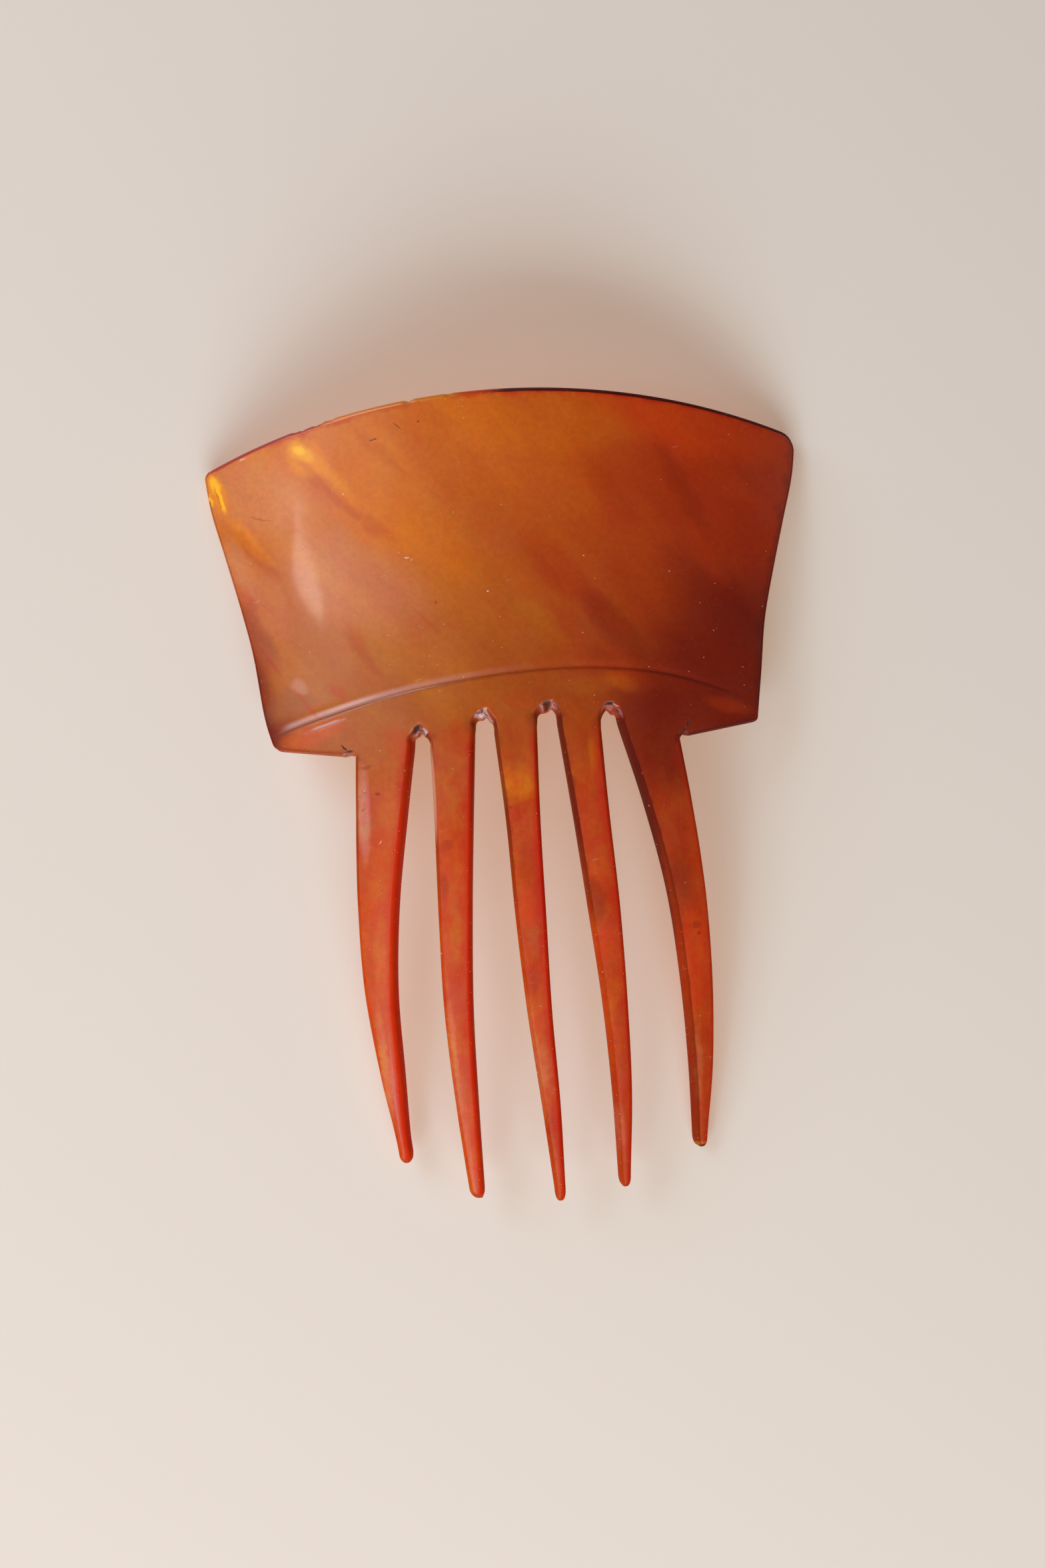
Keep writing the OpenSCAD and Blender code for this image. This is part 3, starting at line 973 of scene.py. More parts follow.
@dataclass(frozen=True)
class Panel:
    """A soft studio light panel that faces the comb."""

    name: str
    bearing: float
    lean: float
    away: float
    width: float
    height: float
    glow: float
    colour: tuple[float, float, float]
    roll: float = 0.0

    def build(self, target: Vector) -> bpy.types.Object:
        """Hangs the panel.

        Args:
            target: The place that it faces.

        Returns:
            The light.
        """
        light = bpy.data.lights.new(self.name, "AREA")
        light.shape = "RECTANGLE"
        light.size = self.width
        light.size_y = self.height
        light.color = self.colour
        light.energy = self.glow * math.pi * self.width * self.height
        panel = bpy.data.objects.new(self.name, light)
        turn, lean = math.radians(self.bearing), math.radians(self.lean)
        way = Vector((math.sin(lean) * math.cos(turn), math.sin(lean) * math.sin(turn), math.cos(lean)))
        panel.location = target + way * self.away
        panel.rotation_mode = "QUATERNION"
        facing = way.to_track_quat("Z", "Y")
        facing.rotate(Matrix.Rotation(math.radians(self.roll), 3, way))
        panel.rotation_quaternion = facing
        bpy.context.scene.collection.objects.link(panel)
        return panel


@dataclass
class Studio:
    """The plain pale floor, the soft lights and the camera straight above the comb."""

    camera_height: float = 0.520
    camera_place: tuple[float, float] = (0.00047, 0.00251)
    camera_turn: float = -3.606
    lens: float = 74.76
    sensor: float = 36
    sight: tuple[float, float] = (0.01, 20)
    floor_half: float = 1.6
    floor_colour: tuple[float, float, float] = (0.80, 0.74, 0.68)
    floor_roughness: float = 0.9
    room_colour: tuple[float, float, float] = (1.0, 0.96, 0.91)
    room_glow: float = 0.07
    panels: tuple[Panel, ...] = (
        Panel("window", 175, 54, 1.0, 0.24, 0.36, 1.1, (0.97, 0.95, 1.0)),
        Panel("window_glow", 175, 45, 1.0, 0.42, 0.54, 0.45, (0.97, 0.95, 1.0)),
        Panel("window_haze", 176, 38, 1.0, 0.60, 0.80, 0.18, (0.97, 0.95, 1.0)),
        Panel("side_window", 138, 62, 1.0, 0.60, 0.50, 4.6, (0.96, 0.94, 1.0)),
        Panel("gap_in_the_curtain", 176.0, 55, 1.0, 0.052, 0.13, 12.0, (1.0, 0.98, 0.86), -24),
        Panel("low_window", 225, 52, 1.0, 0.30, 0.22, 5.0, (0.93, 0.92, 1.0)),
        Panel("key", 264, 60, 1.3, 1.4, 0.7, 6.9, (1.0, 0.95, 0.89)),
    )

    def build(self, box: tuple[Vector, Vector]) -> None:
        """Builds the studio.

        Args:
            box: Low and high corner of the comb's box.
        """
        middle = Vector((0, 0, (box[0][2] + box[1][2]) / 2))
        self.lay_floor()
        for panel in self.panels:
            panel.build(middle)
        self.light_room()
        self.set_camera()

    def lay_floor(self) -> bpy.types.Object:
        """Lays the pale floor under the comb.

        Returns:
            The floor.
        """
        h = self.floor_half
        mesh = bpy.data.meshes.new("pale_floor")
        mesh.from_pydata([(-h, -h, 0), (h, -h, 0), (h, h, 0), (-h, h, 0)], [], [(0, 1, 2, 3)])
        floor = bpy.data.objects.new("pale_floor", mesh)
        bpy.context.scene.collection.objects.link(floor)
        material = bpy.data.materials.new("pale_floor")
        material.use_nodes = True
        shader = material.node_tree.nodes["Principled BSDF"]
        shader.inputs["Base Color"].default_value = (*self.floor_colour, 1)
        shader.inputs["Roughness"].default_value = self.floor_roughness
        mesh.materials.append(material)
        return floor

    def light_room(self) -> None:
        """Fills the room with a dim warm light."""
        world = bpy.data.worlds.new("room")
        bpy.context.scene.world = world
        world.use_nodes = True
        back = world.node_tree.nodes["Background"]
        back.inputs["Color"].default_value = (*self.room_colour, 1)
        back.inputs["Strength"].default_value = self.room_glow
        bpy.context.scene.view_settings.view_transform = "Standard"

    def set_camera(self) -> bpy.types.Object:
        """Hangs the camera straight above the comb, a little turned.

        Returns:
            The camera.
        """
        lens = bpy.data.cameras.new("camera")
        lens.lens = self.lens
        lens.sensor_width = self.sensor
        lens.clip_start, lens.clip_end = self.sight
        camera = bpy.data.objects.new("camera", lens)
        camera.location = (*self.camera_place, self.camera_height)
        camera.rotation_euler = (0, 0, math.radians(self.camera_turn))
        bpy.context.scene.collection.objects.link(camera)
        bpy.context.scene.camera = camera
        return camera


class Tone(Enum):
    """Colours that the horn takes, in linear light."""

    YELLOW = (1.0, 0.52, 0.010)
    GOLD = (0.80, 0.250, 0.004)
    HONEY = (0.66, 0.155, 0.004)
    AMBER = (0.52, 0.135, 0.010)
    OCHRE = (0.47, 0.125, 0.006)
    MILK = (0.62, 0.205, 0.075)
    ORANGE = (0.56, 0.060, 0.002)
    CORAL = (0.62, 0.095, 0.016)
    RUST = (0.42, 0.030, 0.001)
    BRICK = (0.50, 0.040, 0.001)
    RED = (0.56, 0.009, 0.001)
    WINE = (0.20, 0.010, 0.001)
    MAROON = (0.08, 0.007, 0.003)
    SOOT = (0.018, 0.009, 0.008)
    # Dark dusky tone for painted shade.
    SHADE_DUSK = (0.16, 0.055, 0.045)
    BLUSH = (0.62, 0.27, 0.17)
    EMBER = (0.68, 0.058, 0.002)
    # Pale lilac for painted reflections of the cool window light.
    REFLECTED_LILAC = (0.52, 0.36, 0.38)
    PALE = (0.86, 0.60, 0.42)


class Drift(Enum):
    """How far the grain carries a patch out of its drawn shape, in millimetres."""

    STILL = 0.0
    SLIGHT = 0.45
    WAVY = 1.3
    SOFT = 2.6


@dataclass(frozen=True)
class Patch:
    """A soft-edged patch of colour in the horn, drawn as a turned ellipse in millimetres.

    It is whole up to its core, a share of its reach, and gone at its edge, a squared share.
    """

    name: str
    tone: Tone
    place: tuple[float, float]
    reach: tuple[float, float]
    turn: float = 0.0
    strength: float = 1.0
    core: float = 0.0
    drift: Drift = Drift.SOFT
    edge: float = 0.95


class Measure(Enum):
    """What a fade reads: the place on the comb, or a measure that the mesh holds."""

    ACROSS = "across"
    HEIGHT = "height"
    INSET = "inset"
    WAVY_INSET = "wavy_inset"
    SIDE = "side"
    UP = "up"
    SCORE = "score"
    BROKEN = "broken"


class Fade(NamedTuple):
    """A smooth run from one strength to another while a measure goes from low to high."""

    measure: Measure
    low: float
    high: float
    first: float = 0.0
    last: float = 1.0


@dataclass(frozen=True)
class Shade:
    """A colour along an edge or a line, as strong as its fades multiplied together.

    Where least is given, the last fade never falls below it.
    """

    name: str
    tone: Tone
    fades: tuple[Fade, ...]
    least: Fade | None = None


def crown_band(
    name: str, tone: Tone, ends: tuple[float, float], width: float, strength: float
) -> Shade:
    """Draws a band of colour along a stretch of the crown's rim.

    Args:
        name: Name of the band.
        tone: Its colour.
        ends: Places across the comb at which it starts and ends.
        width: How far it reaches in from the rim, in millimetres.
        strength: Its strength at the rim.

    Returns:
        The band.
    """
    fades = (
        Fade(Measure.WAVY_INSET, 0.25 * width, width, strength, 0.0),
        Fade(Measure.UP, 0.55, 0.8),
        Fade(Measure.ACROSS, ends[0] - 2, ends[0] + 2),
        Fade(Measure.ACROSS, ends[1] - 3, ends[1] + 3, 1.0, 0.0),
    )
    return Shade(name, tone, fades)


@dataclass(frozen=True)
class Noise:
    """A noise over the comb, in millimetres, which can be drawn out along a direction."""

    scale: float
    detail: float = 3.0
    roughness: float = 0.5
    distortion: float = 0.0
    turn: float = 0.0
    stretch: tuple[float, float] = (1.0, 1.0)
    spread: tuple[float, float] = (0.3, 0.7)


@dataclass(frozen=True)
class Speck:
    """Small pale marks scattered at random, one to a cell, of which only some show."""

    name: str
    scale: float
    hidden: float
    size: float
    at_rim: float
    inside: float
    channel: int = 0
    turn: float = 0.0
    stretch: tuple[float, float] = (1.0, 1.0)


# Clouds in the heading plate, each laid over those before it. The dark patches down the left side are
# painted shade, and those at the lower right are partly painted shade.
CLOUDS = (
    Patch("corner_milk", Tone.MILK, (-39, 50.5), (11, 8), -25, 0.75, 0.2),
    Patch("rose_side", Tone.BLUSH, (-42.0, 38), (9, 2.6), -72, 0.35),
    Patch("milk_heart", Tone.MILK, (-23, 35), (15, 9), -28, 0.6, 0.1),
    Patch("low_ochre", Tone.OCHRE, (-27, 25), (11, 6), -35, 0.5),
    Patch("side_milk", Tone.MILK, (-38.5, 34), (9, 4), -60, 0.5),
    Patch("amber_flow", Tone.HONEY, (-23, 49), (17, 6.0), -43, 0.9, 0.2),
    Patch("amber_flow_end", Tone.HONEY, (-12, 42), (12, 5), -40, 0.4),
    Patch("glow_halo", Tone.GOLD, (-30.0, 55.0), (5.0, 3.2), -30, 0.95, 0.15),
    Patch("glow_trail", Tone.GOLD, (-26.5, 52.0), (7.0, 1.8), -48, 0.6),
    Patch("corner_band", Tone.GOLD, (-40.5, 43.5), (8.0, 1.6), -50, 0.5),
    Patch("flow_line", Tone.RUST, (-27, 50.3), (9.5, 1.4), -47, 0.3, 0.1, Drift.WAVY),
    Patch("flow_line_end", Tone.RUST, (-20, 43.5), (6.0, 1.6), -40, 0.3, 0.1, Drift.WAVY),
    Patch("upper_flow_line", Tone.RUST, (-18.5, 55.0), (7.5, 1.4), -46, 0.22, 0.1, Drift.WAVY),
    Patch("band_line", Tone.RUST, (-39.5, 41.5), (8.5, 1.3), -50, 0.28, 0.1, Drift.WAVY),
    Patch("side_line", Tone.RED, (-37.9, 24.2), (4.0, 0.45), -57, 0.5, 0.1, Drift.SLIGHT),
    Patch("low_line", Tone.RUST, (-23.0, 25.0), (7.5, 1.5), -62, 0.3, 0.1, Drift.WAVY),
    Patch("low_cloud", Tone.BRICK, (-27.4, 18.7), (2.6, 1.2), -40, 0.5, 0.0, Drift.WAVY),
    Patch("heart_line", Tone.RUST, (-12.2, 28.0), (4.5, 0.4), -46, 0.3, 0.0, Drift.SLIGHT),
    # Painted shade: the dark wine, maroon and dusky patches darken the left side and its foot where the
    # edge turns from the light.
    Patch("side_painted_shade", Tone.WINE, (-41.5, 20), (17, 5.0), -76, 0.85),
    Patch("side_edge_painted_shade", Tone.MAROON, (-41.3, 18), (13, 2.2), -79, 0.8),
    Patch("foot_edge_painted_shade", Tone.MAROON, (-39.4, 13), (6.5, 2.8), -78, 0.75),
    Patch("side_brick", Tone.BRICK, (-41.0, 31), (11, 2.6), -70, 0.45),
    Patch("side_shade", Tone.SHADE_DUSK, (-39.3, 28.0), (7.5, 2.6), -64, 0.34),
    Patch("foot_painted_shade", Tone.SHADE_DUSK, (-35.5, 17), (6, 4), 20, 0.25),
    Patch("foot_wine", Tone.WINE, (-38.0, 13.0), (5.0, 3.0), 30, 0.6),
    Patch("foot_coral", Tone.CORAL, (-32.0, 12.3), (7.0, 2.2), 12, 0.6),
    Patch("crown_gold", Tone.HONEY, (4, 58), (24, 6), -4, 0.5, 0.0),
    Patch("upper_orange", Tone.BRICK, (36, 51), (17, 9), -12, 0.7, 0.1),
    Patch("upper_ember", Tone.EMBER, (31, 57), (20, 6), -16, 0.75, 0.1),
    Patch("dark_flow", Tone.RUST, (10.5, 33.0), (15, 3.4), -47, 0.55, 0.0),
    Patch("dark_flow_low", Tone.WINE, (16.5, 26.5), (10, 3.6), -52, 0.45, 0.1),
    Patch("dark_flow_side", Tone.RUST, (9.0, 27.0), (4.5, 2.6), -50, 0.35),
    Patch("upper_red", Tone.BRICK, (32, 43), (8, 5), -50, 0.35),
    Patch("mid_dark", Tone.RUST, (17.5, 46), (8.5, 3.0), -60, 0.5),
    Patch("right_flow", Tone.WINE, (28.5, 46.5), (11, 2.2), -64, 0.24, 0.1, Drift.WAVY),
    # Partly painted shade: the lower right is darkened for its wine tone and for the shade on the side
    # turned from the lamps.
    Patch("right_wine_and_shade", Tone.WINE, (35, 18), (24, 19), 20, 0.85, 0.1),
    Patch("right_dark_and_shade", Tone.WINE, (32, 30), (14, 8), -48, 0.35),
    Patch("right_glow", Tone.BRICK, (30.5, 36.5), (8, 2.4), -52, 0.4),
    Patch("amber_gap", Tone.OCHRE, (3, 29), (8, 3.0), -45, 0.4),
    Patch("low_left_amber", Tone.AMBER, (-12, 25), (10, 4.0), -45, 0.45),
    Patch("low_right_rust", Tone.RUST, (14, 20), (10, 5.0), -20, 0.4),
    Patch("foot_ochre", Tone.OCHRE, (-12, 15.5), (7, 3.2), -40, 0.6),
    Patch("foot_rust", Tone.BRICK, (-17, 9.5), (6, 3), -35, 0.5),
    Patch("slot_rust", Tone.BRICK, (-8.5, 9.5), (4.5, 3.2), -50, 0.45),
    Patch("foot_amber", Tone.OCHRE, (11.5, 17), (6, 2.0), -10, 0.3),
    Patch("foot_gold", Tone.HONEY, (16.5, 17.0), (4.5, 2.0), -20, 0.35),
    Patch("foot_red", Tone.BRICK, (33.5, 12.8), (5, 1.6), -14, 0.45, 0.0, Drift.WAVY),
    Patch("foot_glow", Tone.ORANGE, (17, 18.5), (7, 1.8), -20, 0.25),
    Patch("low_right_shade", Tone.WINE, (13.5, 21.0), (4.5, 2.6), -40, 0.18),
    Patch("table_brick", Tone.BRICK, (1.0, 15.8), (3.4, 2.2), 0, 0.3),
    Patch("foot_dark", Tone.WINE, (23.5, 12.5), (6, 4.5), -10, 0.5),
)
# Clouds in the roots and the teeth, laid over the plate's, with a painted highlight and painted haze of
# reflected light on the left-hand flanks.
TOOTH_CLOUDS = (
    Patch("teeth_orange", Tone.ORANGE, (0, -32), (70, 52), 0, 0.92, 0.35),
    # Painted highlight: a pale strip of reflected window light down the outer left tooth.
    Patch("outer_left_painted_highlight", Tone.BLUSH, (-24.5, -0.6), (9.6, 1.3), 87.5, 0.6, 0.1, Drift.STILL),
    Patch("outer_left_band", Tone.BRICK, (-22.6, -4.6), (2.6, 1.8), 30, 0.55, 0.0, Drift.WAVY),
    Patch("outer_left_wave", Tone.BRICK, (-23.0, -10.4), (2.8, 1.4), -20, 0.4, 0.0, Drift.WAVY),
    Patch("outer_left_amber", Tone.AMBER, (-22.5, -11), (2.4, 5), 0, 0.2),
    Patch("outer_left_glow", Tone.HONEY, (-23.2, -24), (2.0, 8), 0, 0.4),
    # Painted reflection: a milky haze of window light on the tooth's left flank.
    Patch("outer_left_painted_haze", Tone.MILK, (-24.0, -41), (1.0, 13), 3, 0.5, 0.1, Drift.SLIGHT),
    Patch("outer_left_low", Tone.BRICK, (-22.4, -46), (1.4, 6), 6, 0.3, 0.0, Drift.WAVY),
    Patch("inner_left_amber", Tone.AMBER, (-12.0, 2), (2.6, 5), 0, 0.3),
    Patch("inner_left_cloud", Tone.RUST, (-12.3, -6.2), (1.7, 1.2), 0, 0.6, 0.2, Drift.WAVY),
    Patch("inner_left_stain", Tone.RUST, (-12.9, -12.7), (1.3, 2.6), 0, 0.65, 0.1, Drift.WAVY),
    Patch("inner_left_run", Tone.AMBER, (-11.3, -19), (1.2, 8), 0, 0.35, 0.1, Drift.WAVY),
    # Painted reflection: a milky haze of window light on the tooth's left flank.
    Patch("inner_left_painted_haze", Tone.MILK, (-13.0, -38), (0.8, 16), 2, 0.4, 0.1, Drift.SLIGHT),
    Patch("inner_left_brick", Tone.BRICK, (-12.2, -29), (2.2, 6), 0, 0.55, 0.0, Drift.WAVY),
    Patch("inner_left_tip", Tone.HONEY, (-10.6, -55.5), (1.2, 3.2), 0, 0.45, 0.0, Drift.SLIGHT),
    Patch("inner_left_smear", Tone.CORAL, (-11.0, -47.4), (1.8, 0.7), 0, 0.5, 0.1, Drift.WAVY),
    Patch("middle_halo", Tone.HONEY, (-0.4, 3.0), (4.4, 4.0), 0, 0.5, 0.0, Drift.WAVY),
    Patch("middle_yellow", Tone.GOLD, (0.4, 2.2), (3.2, 2.4), -30, 0.22, 0.0, Drift.WAVY),
    Patch("middle_border", Tone.BRICK, (-0.8, -2.0), (2.8, 1.5), 4, 0.75, 0.1, Drift.WAVY),
    Patch("middle_run", Tone.AMBER, (-0.8, -14), (1.0, 9), 0, 0.4, 0.1, Drift.WAVY),
    Patch("middle_shade", Tone.RUST, (0.3, -9.8), (2.2, 4.0), 0, 0.35, 0.0, Drift.WAVY),
    Patch("middle_upper_milk", Tone.MILK, (0.6, -21.5), (1.4, 4.5), 4, 0.35, 0.0, Drift.WAVY),
    Patch("middle_lower_milk", Tone.MILK, (1.4, -42.0), (1.4, 6), 4, 0.35, 0.0, Drift.WAVY),
    Patch("middle_low_brick", Tone.RUST, (2.0, -53.0), (2.2, 6), 4, 0.6, 0.0, Drift.WAVY),
    Patch("middle_red", Tone.RED, (2.4, -12), (1.1, 14), 0, 0.5, 0.1, Drift.WAVY),
    # Painted reflection: a milky haze of window light on the tooth's left flank.
    Patch("middle_painted_haze", Tone.MILK, (0.0, -40), (0.7, 13), 5, 0.35, 0.1, Drift.SLIGHT),
    Patch("inner_right_gold", Tone.HONEY, (11.6, 6.0), (1.2, 4.0), 4, 0.35, 0.0, Drift.WAVY),
    Patch("inner_right_dark", Tone.RUST, (9.0, 1.5), (1.4, 1.3), 0, 0.5, 0.1, Drift.WAVY),
    Patch("inner_right_shade", Tone.RUST, (10.8, -0.8), (1.8, 3.0), 0, 0.4, 0.0, Drift.WAVY),
    Patch("inner_right_red", Tone.RED, (12.6, 0), (1.0, 10), 4, 0.4, 0.1, Drift.WAVY),
    Patch("inner_right_flow", Tone.RED, (9.6, -4.8), (1.5, 3.6), 6, 0.35, 0.0, Drift.WAVY),
    Patch("inner_right_stain", Tone.WINE, (10.6, -16.0), (2.0, 4.6), 8, 0.42, 0.1, Drift.WAVY),
    Patch("inner_right_ember", Tone.EMBER, (12.2, -23.0), (2.4, 4.0), 4, 0.6, 0.1, Drift.WAVY),
    Patch("inner_right_low", Tone.BRICK, (12.9, -45), (2.4, 8), 0, 0.45, 0.0, Drift.WAVY),
    Patch("inner_right_milk", Tone.MILK, (12.4, -52.5), (1.4, 5), 0, 0.35, 0.0, Drift.WAVY),
    Patch("inner_right_lift", Tone.HONEY, (10.6, -11.0), (1.2, 2.6), 20, 0.28, 0.1, Drift.WAVY),
    Patch("inner_right_glow", Tone.HONEY, (12.8, -31.0), (1.6, 3.6), 0, 0.4, 0.0, Drift.WAVY),
    Patch("outer_right_brick", Tone.WINE, (22.5, -9), (14, 4.5), -82, 0.3, 0.0, Drift.WAVY),
    Patch("inner_right_brick", Tone.BRICK, (10.4, -3), (9, 3), -84, 0.4, 0.0, Drift.WAVY),
    Patch("middle_brick", Tone.BRICK, (0.6, -22), (14, 3), -86, 0.5, 0.0, Drift.WAVY),
    Patch("middle_ember", Tone.EMBER, (0.2, -16.6), (2.2, 4.6), 0, 0.6, 0.1, Drift.WAVY),
    Patch("middle_brown", Tone.RUST, (0.0, -28.2), (1.6, 2.6), 0, 0.6, 0.1, Drift.WAVY),
    Patch("outer_right_root", Tone.WINE, (21.0, 8), (8, 12), 12, 0.72, 0.1),
    Patch("outer_right_bevel", Tone.MAROON, (20.2, -8.5), (20, 1.3), -80.5, 0.85, 0.3, Drift.SLIGHT),
    Patch("outer_right_lift", Tone.RUST, (22.6, -3.0), (2.8, 4.2), 0, 0.4, 0.0, Drift.WAVY),
    Patch("outer_right_dark", Tone.WINE, (24.2, -14.2), (2.4, 4.0), 10, 0.26, 0.0, Drift.WAVY),
    Patch("outer_right_shade", Tone.RUST, (25.4, -22.4), (2.4, 3.4), 6, 0.4, 0.0, Drift.WAVY),
    Patch("outer_right_glow", Tone.EMBER, (25.6, -26.5), (3.4, 9.6), 0, 0.75, 0.6, Drift.SLIGHT),
    Patch("outer_right_low", Tone.RUST, (25.8, -47), (3.4, 12.0), 0, 0.35, 0.8, Drift.SLIGHT),
    Patch("outer_right_milk", Tone.MILK, (25.6, -43.5), (1.0, 8.0), 0, 0.3, 0.0, Drift.WAVY),
    Patch("outer_right_stain", Tone.WINE, (26.3, -21.5), (1.0, 0.8), 0, 0.4, 0.1, Drift.WAVY),
    Patch("outer_right_tip", Tone.GOLD, (25.0, -56.9), (1.6, 1.3), 0, 0.95, 0.4, Drift.SLIGHT),
)
# Small marks over the clouds: the yellow glow, flecks, threads, scuffs and dents, with a painted glow
# at the upper left corner and painted highlights on the plate's lower left and on the inner left tooth.
MARKS = (
    Patch("glow_spot", Tone.YELLOW, (-30.6, 56.0), (3.4, 1.9), -40, 0.42, 0.0, Drift.WAVY),
    Patch("glow_heart", Tone.YELLOW, (-31.0, 56.6), (1.3, 0.9), -20, 0.85, 0.0, Drift.SLIGHT),
    # Painted glow: light shining through the horn at the upper left corner, drawn as a gold halo with
    # yellow streaks and a fleck.
    Patch("corner_glow_halo", Tone.GOLD, (-44.9, 51.4), (4.4, 1.9), -72, 0.85, 0.0, Drift.SLIGHT),
    Patch("corner_glow", Tone.YELLOW, (-45.3, 52.8), (2.3, 1.0), -68, 0.85, 0.1, Drift.SLIGHT),
    Patch("corner_glow_run", Tone.YELLOW, (-44.3, 50.2), (2.6, 0.5), -74, 0.9, 0.2, Drift.SLIGHT),
    Patch("corner_thread", Tone.RUST, (-45.0, 51.0), (2.4, 0.16), -72, 0.5, 0.1, Drift.SLIGHT),
    Patch("corner_glow_fleck", Tone.YELLOW, (-46.1, 50.4), (1.4, 0.3), -74, 0.7, 0.2, Drift.SLIGHT),
    Patch("fleck_one", Tone.SOOT, (-19.3, 57.1), (0.75, 0.16), 8, 0.85, 0.3, Drift.SLIGHT),
    Patch("fleck_two", Tone.MAROON, (-15.4, 58.9), (1.0, 0.1), -42, 0.8, 0.2, Drift.STILL),
    Patch("fleck_three", Tone.MAROON, (-12.1, 59.3), (0.3, 0.18), 0, 0.7, 0.2, Drift.STILL),
    Patch("fleck_four", Tone.MAROON, (-11.2, 31.2), (0.5, 0.14), -60, 0.6, 0.2, Drift.SLIGHT),
    Patch("corner_vein", Tone.RUST, (-38.2, 46.7), (2.8, 0.13), -16, 0.5, 0.2, Drift.SLIGHT),
    Patch("rim_smear", Tone.PALE, (-40.3, 56.3), (0.9, 0.2), 10, 0.55, 0.2, Drift.SLIGHT),
    Patch("flow_nick", Tone.PALE, (-24.6, 49.1), (0.26, 0.13), 30, 0.8, 0.2, Drift.SLIGHT),
    Patch("scuff", Tone.PALE, (-15.2, 38.4), (0.5, 0.11), -12, 0.85, 0.2, Drift.SLIGHT),
    Patch("scuff_three", Tone.PALE, (-14.5, 38.2), (0.24, 0.1), 50, 0.75, 0.2, Drift.SLIGHT),
    Patch("scuff_two", Tone.PALE, (-16.4, 39.4), (0.3, 0.08), -30, 0.6, 0.1, Drift.SLIGHT),
    Patch("dent", Tone.PALE, (-3.0, 32.5), (0.2, 0.19), 0, 0.8, 0.3, Drift.STILL),
    Patch("dent_two", Tone.PALE, (25.3, 34.0), (0.17, 0.22), 0, 0.5, 0.2, Drift.SLIGHT),
    Patch("dent_three", Tone.PALE, (31.8, 24.6), (0.14, 0.14), 0, 0.6, 0.2, Drift.STILL),
    Patch("dent_four", Tone.PALE, (12.1, 37.1), (0.14, 0.13), 0, 0.8, 0.3, Drift.STILL),
    # Painted highlight: a soft pale glint on the lower left of the plate.
    Patch("side_glint", Tone.BLUSH, (-33.4, 20.1), (2.1, 1.5), -35, 0.5, 0.0, Drift.WAVY),
    Patch("low_thread", Tone.BRICK, (-32.8, 17.4), (4.4, 0.35), -54, 0.55, 0.0, Drift.SLIGHT),
    # Painted highlight: a pale line of reflected light along the facet on the left of the inner left
    # tooth.
    Patch("inner_left_facet_highlight", Tone.BLUSH, (-13.35, 2.0), (9.2, 0.45), 89.5, 0.75, 0.3, Drift.STILL),
    Patch("outer_left_fold", Tone.WINE, (-23.8, 6.6), (1.6, 0.4), 6, 0.4, 0.0, Drift.SLIGHT),
    Patch("outer_left_blot", Tone.WINE, (-22.1, 2.4), (0.6, 0.4), -20, 0.7, 0.2, Drift.SLIGHT),
    Patch("outer_left_ring", Tone.RUST, (-24.15, 2.8), (0.5, 0.5), 0, 0.6, 0.3, Drift.SLIGHT),
    Patch("outer_left_dent", Tone.BLUSH, (-24.15, 2.9), (0.3, 0.36), 0, 0.9, 0.3, Drift.SLIGHT),
    Patch("outer_left_dent_two", Tone.RUST, (-24.5, 0.1), (0.5, 0.16), 30, 0.6, 0.2, Drift.SLIGHT),
    Patch("outer_left_scuff", Tone.PALE, (-22.2, -5.2), (0.6, 0.14), 50, 0.6, 0.1, Drift.SLIGHT),
    Patch("middle_spot", Tone.WINE, (-1.6, -1.0), (0.35, 0.3), 0, 0.5, 0.2, Drift.SLIGHT),
    Patch("outer_right_spot", Tone.WINE, (26.7, -22.6), (0.35, 0.3), 0, 0.5, 0.2, Drift.SLIGHT),
)
# Dark cracks and pits at the slot ends and beside the outer teeth.
CRACKS = (
    Patch("slot_one_pit", Tone.SOOT, (-15.3, 12.2), (0.7, 0.45), -20, 0.8, 0.3, Drift.SLIGHT),
    Patch("slot_one_left", Tone.SOOT, (-14.6, 11.6), (1.0, 0.16), -38, 0.9, 0.4, Drift.SLIGHT),
    Patch("slot_one_stem", Tone.SOOT, (-13.9, 10.9), (0.6, 0.14), 70, 0.8, 0.4, Drift.SLIGHT),
    Patch("slot_two_left", Tone.SOOT, (-5.3, 14.2), (0.8, 0.3), 40, 0.8, 0.3, Drift.SLIGHT),
    Patch("slot_two_right", Tone.SOOT, (-4.4, 13.6), (0.7, 0.14), -60, 0.7, 0.4, Drift.SLIGHT),
    Patch("slot_three_top", Tone.SOOT, (5.0, 14.9), (1.0, 0.32), 12, 0.85, 0.3, Drift.SLIGHT),
    Patch("slot_three_right", Tone.SOOT, (6.4, 14.0), (0.9, 0.2), -50, 0.6, 0.3, Drift.SLIGHT),
    Patch("slot_four_top", Tone.SOOT, (14.7, 14.1), (1.1, 0.28), 20, 0.85, 0.3, Drift.SLIGHT),
    Patch("slot_four_right", Tone.SOOT, (15.9, 12.8), (0.9, 0.25), -55, 0.7, 0.3, Drift.SLIGHT),
    Patch("left_notch", Tone.SOOT, (-27.0, 9.9), (1.0, 0.16), -48, 0.95, 0.4, Drift.SLIGHT),
    Patch("left_notch_arm", Tone.SOOT, (-26.2, 9.2), (0.8, 0.2), 12, 0.9, 0.4, Drift.SLIGHT),
    Patch("right_crack_top", Tone.SOOT, (26.8, 10.4), (1.0, 0.13), 80, 0.95, 0.5, Drift.SLIGHT),
    Patch("right_crack_low", Tone.SOOT, (26.0, 9.3), (0.9, 0.15), 48, 0.95, 0.5, Drift.SLIGHT),
)
